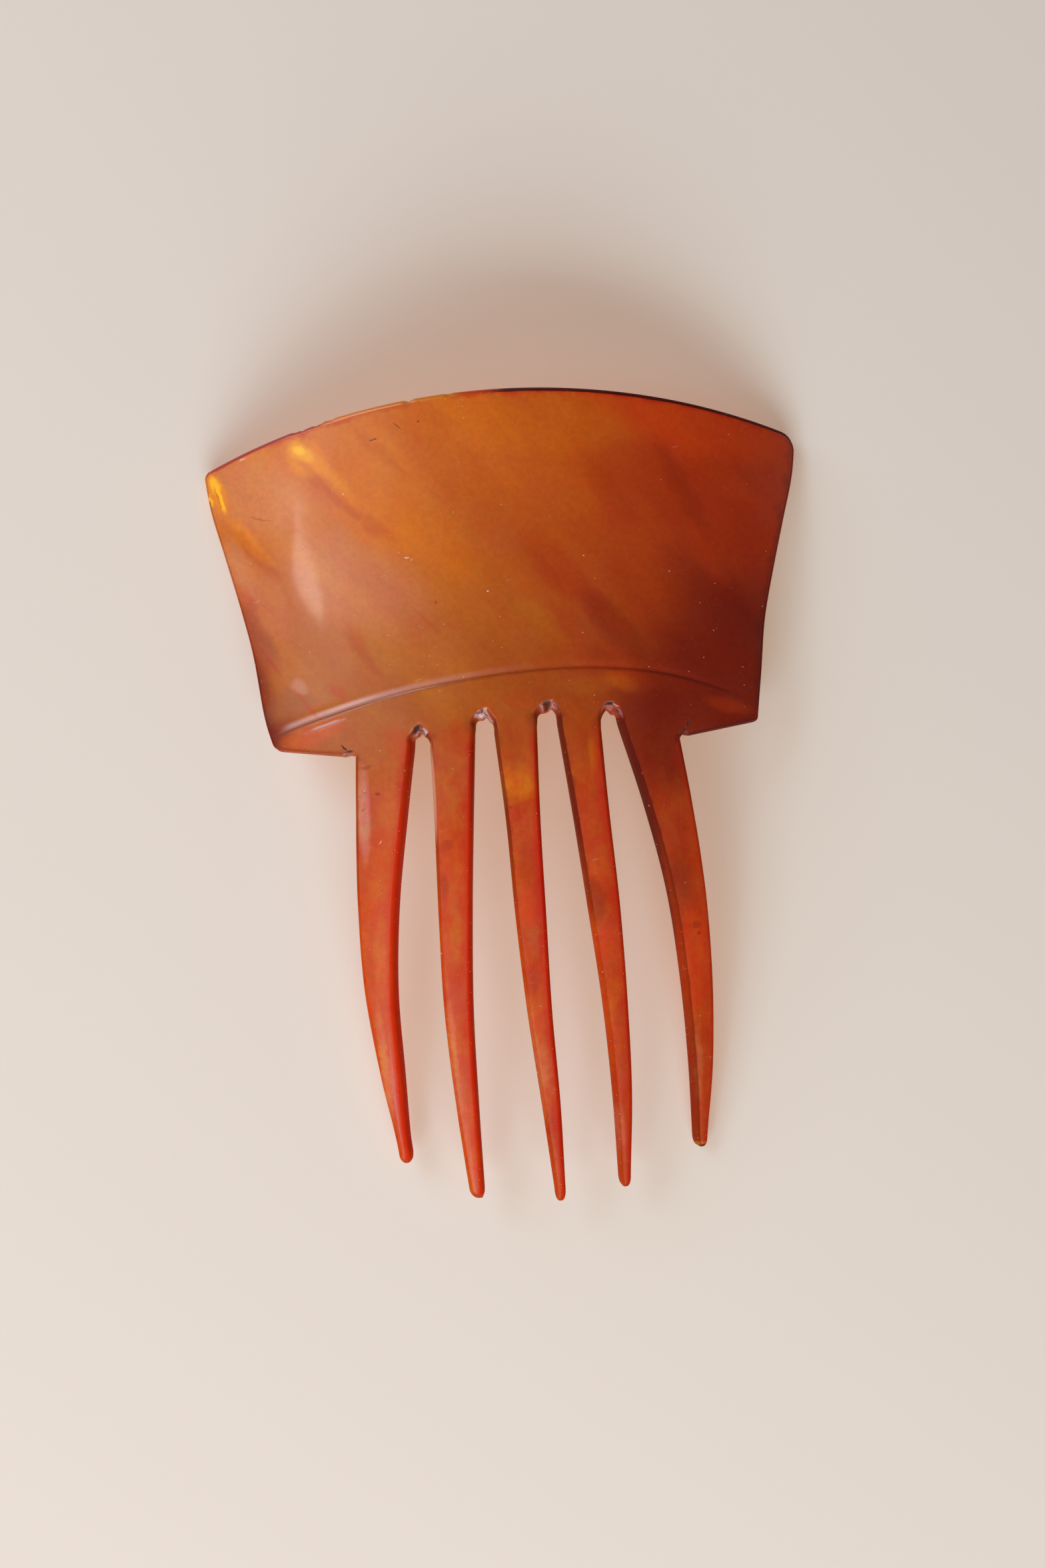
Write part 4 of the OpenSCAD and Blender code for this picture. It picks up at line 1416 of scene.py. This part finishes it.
# Fades that the right-hand flanks' painted light and shade share: red light shining through the edges,
# shade where they turn from the lamps.
PAINTED_FLANK = (
    Fade(Measure.WAVY_INSET, 0.2, 2.0, 0.72, 0.0),
    Fade(Measure.SIDE, 0.25, 0.85),
)
PAINTED_TOOTH_FLANK = PAINTED_FLANK + (
    Fade(Measure.HEIGHT, 8, 13, 1.0, 0.0),
    Fade(Measure.ACROSS, 9, 22, 1.0, 0.4),
)
# Shades along the edges, the broken slot ends and the scored line; several are painted light and shade.
SHADES = (
    # Painted light and shade on the right-hand flanks: red where light shines through the teeth's
    # edges, wine deeper in, maroon along the plate's right side.
    Shade("painted_red_flank_glow", Tone.RED, PAINTED_TOOTH_FLANK),
    Shade(
        "painted_deep_flank_shade",
        Tone.WINE,
        PAINTED_TOOTH_FLANK
        + (Fade(Measure.HEIGHT, -8, 10), Fade(Measure.WAVY_INSET, 0.2, 1.4, 0.6, 0.0)),
    ),
    Shade("right_side", Tone.MAROON, PAINTED_FLANK + (Fade(Measure.HEIGHT, 9, 14, 0.0, 0.8),)),
    Shade(
        "left_rim",
        Tone.MAROON,
        (
            Fade(Measure.WAVY_INSET, 0.1, 0.9, 1.0, 0.0),
            Fade(Measure.SIDE, -0.25, -0.85),
            Fade(Measure.ACROSS, -18, 8, 0.4, 0.85),
            Fade(Measure.HEIGHT, -34, -2),
        ),
        least=Fade(Measure.ACROSS, 14, 24, 0.36, 0.72),
    ),
    Shade(
        "low_rim",
        Tone.WINE,
        (Fade(Measure.WAVY_INSET, 0.2, 1.5, 0.6, 0.0), Fade(Measure.UP, -0.3, -0.9)),
    ),
    Shade(
        "right_foot",
        Tone.MAROON,
        (
            Fade(Measure.WAVY_INSET, 0.1, 0.8, 0.9, 0.0),
            Fade(Measure.UP, -0.3, -0.8),
            Fade(Measure.ACROSS, 16, 27),
        ),
    ),
    crown_band("crown_left_dark", Tone.MAROON, (-50, -30), 0.75, 0.9),
    crown_band("crown_left_red", Tone.RED, (-50, -22), 1.3, 0.6),
    crown_band("crown_left_brick", Tone.BRICK, (-34, -12), 1.6, 0.6),
    crown_band("crown_gold", Tone.GOLD, (-27, -2), 0.75, 0.85),
    crown_band("crown_right_red", Tone.RED, (-6, 50), 1.5, 0.7),
    crown_band("crown_right_dark", Tone.MAROON, (0, 50), 0.65, 0.95),
    # Painted reflection and shade on the broken slot ends: pale lilac sky light on the raised facets,
    # dark shade in the sunken ones.
    Shade(
        "painted_facet_glints",
        Tone.REFLECTED_LILAC,
        (Fade(Measure.BROKEN, 0.08, 0.4), Fade(Measure.ACROSS, -14, 8, 0.8, 0.2)),
    ),
    Shade("painted_facet_shade", Tone.SOOT, (Fade(Measure.BROKEN, -0.08, -0.4, 0.0, 0.85),)),
    # Painted shade in the scored line's lip, and painted highlights of window light in its hollow and
    # along the second scratch.
    Shade(
        "painted_score_lip_shade",
        Tone.WINE,
        (Fade(Measure.SCORE, -0.35, -0.02), Fade(Measure.SCORE, 0.1, 0.6, 0.26, 0.0)),
    ),
    Shade(
        "painted_score_highlight",
        Tone.REFLECTED_LILAC,
        (
            Fade(Measure.SCORE, 0.15, 0.5),
            Fade(Measure.SCORE, 0.7, 1.5, 0.45, 0.0),
            Fade(Measure.ACROSS, -37.5, -35),
            Fade(Measure.ACROSS, -30, 6, 1.0, 0.0),
        ),
    ),
    Shade(
        "painted_scratch_highlight",
        Tone.REFLECTED_LILAC,
        (
            Fade(Measure.SCORE, -1.4, -1.15),
            Fade(Measure.SCORE, -1.1, -0.85, 0.7, 0.0),
            Fade(Measure.ACROSS, -32.5, -31),
            Fade(Measure.ACROSS, -28.5, -26, 1.0, 0.0),
        ),
    ),
)
# Edges that the saw and the file left matt; the strongest counts.
SAWN = Fade(Measure.INSET, 0.05, 0.6, 0.9, 0.0)
MATT_EDGES = (
    (SAWN, Fade(Measure.SIDE, 0.3, 0.85)),
    (SAWN, Fade(Measure.SIDE, -0.3, -0.85)),
    (SAWN, Fade(Measure.ACROSS, -4, 20, 0.0, 0.8)),
    (Fade(Measure.INSET, 0.3, 1.3, 0.8, 0.0), Fade(Measure.HEIGHT, -14, -32)),
)
# Dust, nicks and fine scratches.
SPECKS = (
    Speck("nicks", 0.8, 0.5, 0.07, 0.6, 0.6),
    Speck("dust", 2.3, 0.55, 0.13, 0.55, 0.2),
    Speck("scratches", 0.34, 0.8, 0.09, 0.15, 0.15, 1, 14, (2.6, 0.32)),
)


class Bench:
    """Lays out the nodes of one material."""

    def __init__(self, material: bpy.types.Material) -> None:
        """Starts from a material that uses nodes."""
        self.tree = material.node_tree

    def node(self, kind: str, inputs: dict | None = None, **settings: object) -> bpy.types.Node:
        """Adds a node.

        Args:
            kind: The node's type.
            inputs: Values or sockets for its inputs, by name or place.
            settings: Its own properties.

        Returns:
            The node.
        """
        node = self.tree.nodes.new(kind)
        for name, value in settings.items():
            setattr(node, name, value)
        for name, value in (inputs or {}).items():
            if isinstance(value, bpy.types.NodeSocket):
                self.tree.links.new(value, node.inputs[name])
            else:
                node.inputs[name].default_value = value
        return node

    def math(self, operation: str, *values: object, clamp: bool = False) -> bpy.types.NodeSocket:
        """Works out one number from others."""
        inputs = dict(enumerate(values))
        return self.node("ShaderNodeMath", inputs, operation=operation, use_clamp=clamp).outputs[0]

    def vector(self, operation: str, *values: object) -> bpy.types.NodeSocket:
        """Works out one vector from others."""
        inputs = dict(enumerate(values))
        return self.node("ShaderNodeVectorMath", inputs, operation=operation).outputs[0]

    def dot(self, first: object, second: object) -> bpy.types.NodeSocket:
        """Works out how far one vector runs along another."""
        inputs = {0: first, 1: second}
        return self.node("ShaderNodeVectorMath", inputs, operation="DOT_PRODUCT").outputs["Value"]

    def colour(self, red: object, green: object, blue: object) -> bpy.types.NodeSocket:
        """Joins three numbers to a colour."""
        return self.node("ShaderNodeCombineColor", {0: red, 1: green, 2: blue}).outputs[0]

    def fade(
        self, value: object, low: float, high: float, first: float = 0.0, last: float = 1.0
    ) -> bpy.types.NodeSocket:
        """Runs smoothly from one number to another.

        Args:
            value: The number that it follows.
            low: Value at which the run starts.
            high: Value at which it ends.
            first: Result up to the start.
            last: Result from the end on.

        Returns:
            The result.
        """
        inputs = {"Value": value, 1: low, 2: high, 3: first, 4: last}
        smooth = {"interpolation_type": "SMOOTHSTEP"}
        return self.node("ShaderNodeMapRange", inputs, **smooth).outputs[0]

    def strength(
        self, measures: dict[Measure, object], fades: tuple[Fade, ...], least: Fade | None = None
    ) -> bpy.types.NodeSocket:
        """Multiplies fades.

        Args:
            measures: A socket for each measure.
            fades: The fades.
            least: A fade below which the last one never falls.

        Returns:
            Their product.
        """
        numbers = [self.fade(measures[fade.measure], *fade[1:]) for fade in fades]
        if least is not None:
            floor = self.fade(measures[least.measure], *least[1:])
            numbers[-1] = self.math("MAXIMUM", floor, numbers[-1])
        total = numbers[0]
        for number in numbers[1:]:
            total = self.math("MULTIPLY", total, number)
        return total

    def most(self, numbers: list[bpy.types.NodeSocket]) -> bpy.types.NodeSocket:
        """Finds the largest of several numbers.

        Args:
            numbers: The numbers.

        Returns:
            The largest.
        """
        total = numbers[0]
        for number in numbers[1:]:
            total = self.math("MAXIMUM", total, number)
        return total

    def mix(
        self, share: object, first: object, second: object, blend: str = "MIX"
    ) -> bpy.types.NodeSocket:
        """Mixes two colours.

        Args:
            share: Share of the second colour.
            first: The first colour.
            second: The second colour.
            blend: How they are mixed.

        Returns:
            The mixed colour.
        """
        inputs = {0: share, 6: first, 7: second}
        settings = {"data_type": "RGBA", "blend_type": blend}
        return self.node("ShaderNodeMix", inputs, **settings).outputs[2]

    def paint(self, share: object, colour: object, tone: Tone) -> bpy.types.NodeSocket:
        """Lays a tone over a colour."""
        return self.mix(share, colour, (*tone.value, 1.0))

    def stretched(
        self, place: object, turn: float, stretch: tuple[float, float]
    ) -> bpy.types.NodeSocket:
        """Turns and stretches places so that a pattern runs along a direction.

        Args:
            place: Places in millimetres.
            turn: The direction, in degrees.
            stretch: How far the pattern is drawn out along and across it.

        Returns:
            The new places.
        """
        inputs = {
            "Vector": place,
            "Rotation": (0, 0, math.radians(turn)),
            "Scale": (*stretch, 1),
        }
        return self.node("ShaderNodeMapping", inputs, vector_type="TEXTURE").outputs[0]

    def noise(self, place: object, noise: Noise) -> bpy.types.Node:
        """Adds a noise.

        Args:
            place: Places in millimetres.
            noise: The noise.

        Returns:
            Its node.
        """
        if noise.stretch != (1.0, 1.0):
            place = self.stretched(place, noise.turn, noise.stretch)
        inputs = {
            "Vector": place,
            "Scale": noise.scale,
            "Detail": noise.detail,
            "Roughness": noise.roughness,
            "Distortion": noise.distortion,
        }
        return self.node("ShaderNodeTexNoise", inputs)

    def swing(
        self, place: object, noise: Noise, first: float, last: float
    ) -> bpy.types.NodeSocket:
        """Swings between two numbers with a noise.

        Args:
            place: Places in millimetres.
            noise: The noise.
            first: The number where the noise is low.
            last: The number where it is high.

        Returns:
            The number.
        """
        return self.fade(self.noise(place, noise).outputs["Fac"], *noise.spread, first, last)

    def named(self, socket: bpy.types.NodeSocket, name: str) -> bpy.types.NodeSocket:
        """Labels the node that a socket belongs to."""
        socket.node.label = name
        return socket

    def measure(self, measure: Measure) -> bpy.types.NodeSocket:
        """Reads a measure written on the mesh."""
        return self.node("ShaderNodeAttribute", attribute_name=measure.value).outputs["Fac"]

    def patch(self, places: dict[Drift, object], patch: Patch) -> bpy.types.NodeSocket:
        """Works out how strongly a patch covers a place.

        Args:
            places: Places in millimetres, for each drift.
            patch: The patch.

        Returns:
            Its strength there.
        """
        turn = math.radians(patch.turn)
        axes = ((math.cos(turn), math.sin(turn)), (-math.sin(turn), math.cos(turn)))
        away = []
        for (x, y), reach in zip(axes, patch.reach):
            shift = -(x * patch.place[0] + y * patch.place[1])
            line = (x / reach, y / reach, shift / reach)
            away.append(self.dot(places[patch.drift], line))
        square = self.math("MULTIPLY_ADD", away[0], away[0], self.math("MULTIPLY", away[1], away[1]))
        strength = self.fade(square, patch.core**2, patch.edge, patch.strength, 0.0)
        return self.named(strength, patch.name)


@dataclass(frozen=True)
class BlondeHorn:
    """Polished blonde horn, shaded from honey at the left to wine at the right, partly with painted
    shade.
    """

    name: str = "blonde_horn"
    clouds: tuple[Patch, ...] = CLOUDS + TOOTH_CLOUDS
    shades: tuple[Shade, ...] = SHADES
    marks: tuple[Patch, ...] = MARKS
    specks: tuple[Speck, ...] = SPECKS
    cracks: tuple[Patch, ...] = CRACKS
    matt_edges: tuple[tuple[Fade, ...], ...] = MATT_EDGES
    roughness: float = 0.34
    duller: float = 0.07
    brighter: float = 0.05
    coat: float = 0.24
    coat_roughness: float = 0.08
    mirror: float = 0.5
    dullness: float = 0.4
    subsurface: float = 0.25
    glow_radius: tuple[float, float, float] = (1.0, 0.28, 0.08)
    glow_depth: float = 0.0016
    shadow_tint: tuple[float, float, float] = (0.72, 0.57, 0.41)
    # Base colour from amber at the left to rust at the right; the darkening to the right is partly
    # painted shade.
    left_to_right: tuple[float, float] = (-26, 40)
    foot_to_crown: tuple[float, float] = (8, 66)
    lift: tuple[float, float] = (0.8, 1.28)
    tooth_to_plate: tuple[float, float] = (4, 16)
    drifts: tuple[tuple[Drift, Noise], ...] = (
        (Drift.SLIGHT, Noise(0.9)),
        (Drift.WAVY, Noise(0.26)),
        (Drift.SOFT, Noise(0.085)),
    )
    plate_flow: Noise = Noise(0.16, 4.0, 0.55, turn=-47, stretch=(5.0, 1.0))
    tooth_flow: Noise = Noise(0.3, turn=90, stretch=(4.0, 1.0))
    fine: Noise = Noise(1.1, 6.0, 0.72)
    mottles: Noise = Noise(0.28, 5.0, 0.62, 0.6, spread=(0.32, 0.68))
    blotches: Noise = Noise(0.62, 5.0, 0.62, turn=84, stretch=(1.5, 1.0), spread=(0.34, 0.66))
    edge_waver: Noise = Noise(0.5)
    wear: Noise = Noise(0.12, 4.0, 0.6)
    pits: Noise = Noise(2.2, 4.0, 0.6)
    polish_lines: Noise = Noise(1.1, turn=-60, stretch=(6.0, 0.5))
    fine_tint: tuple[float, float] = (0.93, 1.07)
    mottled_tint: tuple[float, float] = (0.92, 1.05)
    blotched_tint: tuple[float, float] = (0.76, 1.16)
    red_tint: tuple[float, float] = (0.93, 1.05)
    green_tint: tuple[float, float] = (0.84, 1.13)
    waver: tuple[float, float] = (0.7, 1.4)
    speckled_rim: tuple[float, float] = (0.4, 1.8)
    pit_depth: float = 0.012
    line_depth: float = 0.006
    crack_depth: float = 0.12

    def dress(self, piece: bpy.types.Object) -> None:
        """Gives a piece the finish.

        Args:
            piece: The piece, with its measures written on its mesh.
        """
        material = bpy.data.materials.new(self.name)
        material.use_nodes = True
        bench = Bench(material)
        shader = material.node_tree.nodes["Principled BSDF"]
        place = self.place(bench)
        places = self.drifted(bench, place)
        measures = self.measures(bench, place)
        cracks = bench.most([bench.patch(places, crack) for crack in self.cracks])
        matt = bench.most([bench.strength(measures, fades) for fades in self.matt_edges])
        polish = bench.math("SUBTRACT", 1.0, matt)
        linked = {
            "Base Color": self.colour(bench, places, measures, cracks),
            "Roughness": self.gloss(bench, place, cracks, matt),
            "Normal": self.relief(bench, place, cracks),
            "Coat Weight": bench.math("MULTIPLY", polish, self.coat),
            "Specular IOR Level": bench.math("MULTIPLY", polish, self.mirror),
        }
        for name, socket in linked.items():
            material.node_tree.links.new(socket, shader.inputs[name])
        shader.inputs["Coat Roughness"].default_value = self.coat_roughness
        shader.inputs["Subsurface Weight"].default_value = self.subsurface
        shader.inputs["Subsurface Radius"].default_value = self.glow_radius
        shader.inputs["Subsurface Scale"].default_value = self.glow_depth
        self.let_light_through(bench, shader)
        piece.data.materials.append(material)

    def place(self, bench: Bench) -> bpy.types.NodeSocket:
        """Place on the comb in millimetres, laid flat, with one as its third number."""
        own = bench.node("ShaderNodeTexCoord").outputs["Object"]
        return bench.vector("MULTIPLY_ADD", own, (1 / MM, 1 / MM, 0), (0, 0, 1))

    def drifted(self, bench: Bench, place: object) -> dict[Drift, object]:
        """Carries places along with the horn's grain.

        Args:
            bench: The material's bench.
            place: Places in millimetres.

        Returns:
            The places, once for each drift.
        """
        places = {Drift.STILL: place}
        for drift, noise in self.drifts:
            way = bench.vector("SUBTRACT", bench.noise(place, noise).outputs["Color"], (0.5, 0.5, 0.5))
            reach = bench.vector("MULTIPLY", way, (2 * drift.value, 2 * drift.value, 0.0))
            places[drift] = bench.vector("ADD", place, reach)
        return places

    def measures(self, bench: Bench, place: object) -> dict[Measure, bpy.types.NodeSocket]:
        """Gathers what the fades read.

        Args:
            bench: The material's bench.
            place: Places in millimetres.

        Returns:
            A socket for each measure.
        """
        across, height = bench.node("ShaderNodeSeparateXYZ", {0: place}).outputs[:2]
        found = {Measure.ACROSS: across, Measure.HEIGHT: height}
        for measure in (Measure.INSET, Measure.SIDE, Measure.UP, Measure.SCORE, Measure.BROKEN):
            found[measure] = bench.measure(measure)
        waver = bench.swing(place, self.edge_waver, *self.waver)
        found[Measure.WAVY_INSET] = bench.math("MULTIPLY", found[Measure.INSET], waver)
        return found

    def colour(
        self, bench: Bench, places: dict[Drift, object], measures: dict[Measure, object], cracks: object
    ) -> bpy.types.NodeSocket:
        """Builds the colour of the horn, with the painted light and shade that some of its patches and
        shades carry.

        Args:
            bench: The material's bench.
            places: Places in millimetres, for each drift.
            measures: A socket for each measure.
            cracks: How strongly the cracks cover a place.

        Returns:
            The colour.
        """
        across, height = bench.node("ShaderNodeSeparateXYZ", {0: places[Drift.SOFT]}).outputs[:2]
        amber = (*Tone.AMBER.value, 1.0)
        colour = bench.paint(bench.fade(across, *self.left_to_right), amber, Tone.RUST)
        lift = bench.fade(height, *self.foot_to_crown, *self.lift)
        colour = bench.mix(1.0, colour, bench.colour(lift, lift, lift), "MULTIPLY")
        for patch in self.clouds:
            colour = bench.paint(bench.patch(places, patch), colour, patch.tone)
        tint = self.grain(bench, places[Drift.STILL], height)
        colour = bench.mix(1.0, colour, tint, "MULTIPLY")
        for shade in self.shades:
            strength = bench.strength(measures, shade.fades, shade.least)
            colour = bench.paint(bench.named(strength, shade.name), colour, shade.tone)
        for patch in self.marks:
            colour = bench.paint(bench.patch(places, patch), colour, patch.tone)
        for speck in self.specks:
            strength = self.speckled(bench, places[Drift.STILL], measures[Measure.INSET], speck)
            colour = bench.paint(bench.named(strength, speck.name), colour, Tone.PALE)
        return bench.paint(cracks, colour, Tone.SOOT)

    def grain(self, bench: Bench, place: object, height: object) -> bpy.types.NodeSocket:
        """Draws the slanting flow of the plate, the straight flow of the teeth and fine mottling.

        Args:
            bench: The material's bench.
            place: Places in millimetres.
            height: Height on the comb.

        Returns:
            The tint that they give the horn.
        """
        on_plate = bench.fade(height, *self.tooth_to_plate)
        plate_flow = bench.noise(place, self.plate_flow).outputs["Fac"]
        tooth_flow = bench.noise(place, self.tooth_flow).outputs["Fac"]
        flow = bench.node("ShaderNodeMix", {0: on_plate, 2: tooth_flow, 3: plate_flow}).outputs[0]
        fine = bench.swing(place, self.fine, *self.fine_tint)
        mottled = bench.swing(place, self.mottles, *self.mottled_tint)
        blotched = bench.swing(place, self.blotches, *self.blotched_tint)
        mottled = bench.node("ShaderNodeMix", {0: on_plate, 2: blotched, 3: mottled}).outputs[0]
        spread = self.plate_flow.spread
        red = bench.math("MULTIPLY", fine, bench.fade(flow, *spread, *self.red_tint))
        green = bench.math("MULTIPLY", fine, bench.fade(flow, *spread, *self.green_tint))
        green = bench.math("MULTIPLY", green, mottled)
        return bench.colour(red, green, fine)

    def speckled(
        self, bench: Bench, place: object, inset: object, speck: Speck
    ) -> bpy.types.NodeSocket:
        """Scatters one kind of pale mark.

        Args:
            bench: The material's bench.
            place: Places in millimetres.
            inset: Distance from the outline.
            speck: The kind of mark.

        Returns:
            How strongly the marks cover a place.
        """
        if speck.stretch != (1.0, 1.0):
            place = bench.stretched(place, speck.turn, speck.stretch)
        cells = bench.node("ShaderNodeTexVoronoi", {"Vector": place, "Scale": speck.scale})
        chance = bench.node("ShaderNodeSeparateColor", {0: cells.outputs["Color"]})
        size = bench.fade(chance.outputs[speck.channel], speck.hidden, 1.0, 0.0, speck.size)
        within = bench.math("LESS_THAN", cells.outputs["Distance"], size)
        strength = bench.fade(inset, *self.speckled_rim, speck.at_rim, speck.inside)
        return bench.math("MULTIPLY", within, strength)

    def gloss(
        self, bench: Bench, place: object, cracks: object, matt: object
    ) -> bpy.types.NodeSocket:
        """Varies the polish, duller on sawn edges, in cracks and where the horn is handled.

        Args:
            bench: The material's bench.
            place: Places in millimetres.
            cracks: How strongly the cracks cover a place.
            matt: How matt its edges are.

        Returns:
            The roughness.
        """
        least, most = self.roughness - self.brighter, self.roughness + self.duller
        rough = bench.swing(place, self.wear, least, most)
        dull = bench.math("MAXIMUM", cracks, matt)
        return bench.math("MULTIPLY_ADD", dull, self.dullness, rough, clamp=True)

    def relief(self, bench: Bench, place: object, cracks: object) -> bpy.types.NodeSocket:
        """Adds the finest relief: polish lines, pits and the hollows of the cracks.

        Args:
            bench: The material's bench.
            place: Places in millimetres.
            cracks: How strongly the cracks cover a place.

        Returns:
            The direction that the surface faces.
        """
        pits = bench.noise(place, self.pits).outputs["Fac"]
        lines = bench.noise(place, self.polish_lines).outputs["Fac"]
        lines = bench.math("MULTIPLY", lines, self.line_depth)
        height = bench.math("MULTIPLY_ADD", pits, self.pit_depth, lines)
        height = bench.math("MULTIPLY_ADD", cracks, -self.crack_depth, height)
        inputs = {"Strength": 1.0, "Distance": MM, "Height": height}
        return bench.node("ShaderNodeBump", inputs).outputs[0]

    def let_light_through(self, bench: Bench, shader: bpy.types.Node) -> None:
        """Lets the lamps shine through the thin horn, so that its shadow is warm.

        Args:
            bench: The material's bench.
            shader: The horn's shader.
        """
        clear = bench.node("ShaderNodeBsdfTransparent", {"Color": (*self.shadow_tint, 1)})
        lamp = bench.node("ShaderNodeLightPath").outputs["Is Shadow Ray"]
        both = bench.node("ShaderNodeMixShader", {0: lamp, 1: shader.outputs[0], 2: clear.outputs[0]})
        output = bench.tree.nodes["Material Output"]
        bench.tree.links.new(both.outputs[0], output.inputs["Surface"])


def main() -> None:
    """Builds the comb and its studio, and reports each piece."""
    logging.basicConfig(level=logging.INFO, format="%(message)s")
    horn_comb = HornComb()
    comb = horn_comb.build()
    BlondeHorn().dress(comb)
    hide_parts("comb")
    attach(comb, "root")
    teeth = ", ".join(tooth.name for tooth in horn_comb.teeth)
    log.info("%s: %d faces, teeth %s", comb.name, len(comb.data.polygons), teeth)
    Studio().build(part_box("comb"))
    log.info("studio: floor, lights and camera")


if __name__ == "__main__":
    main()
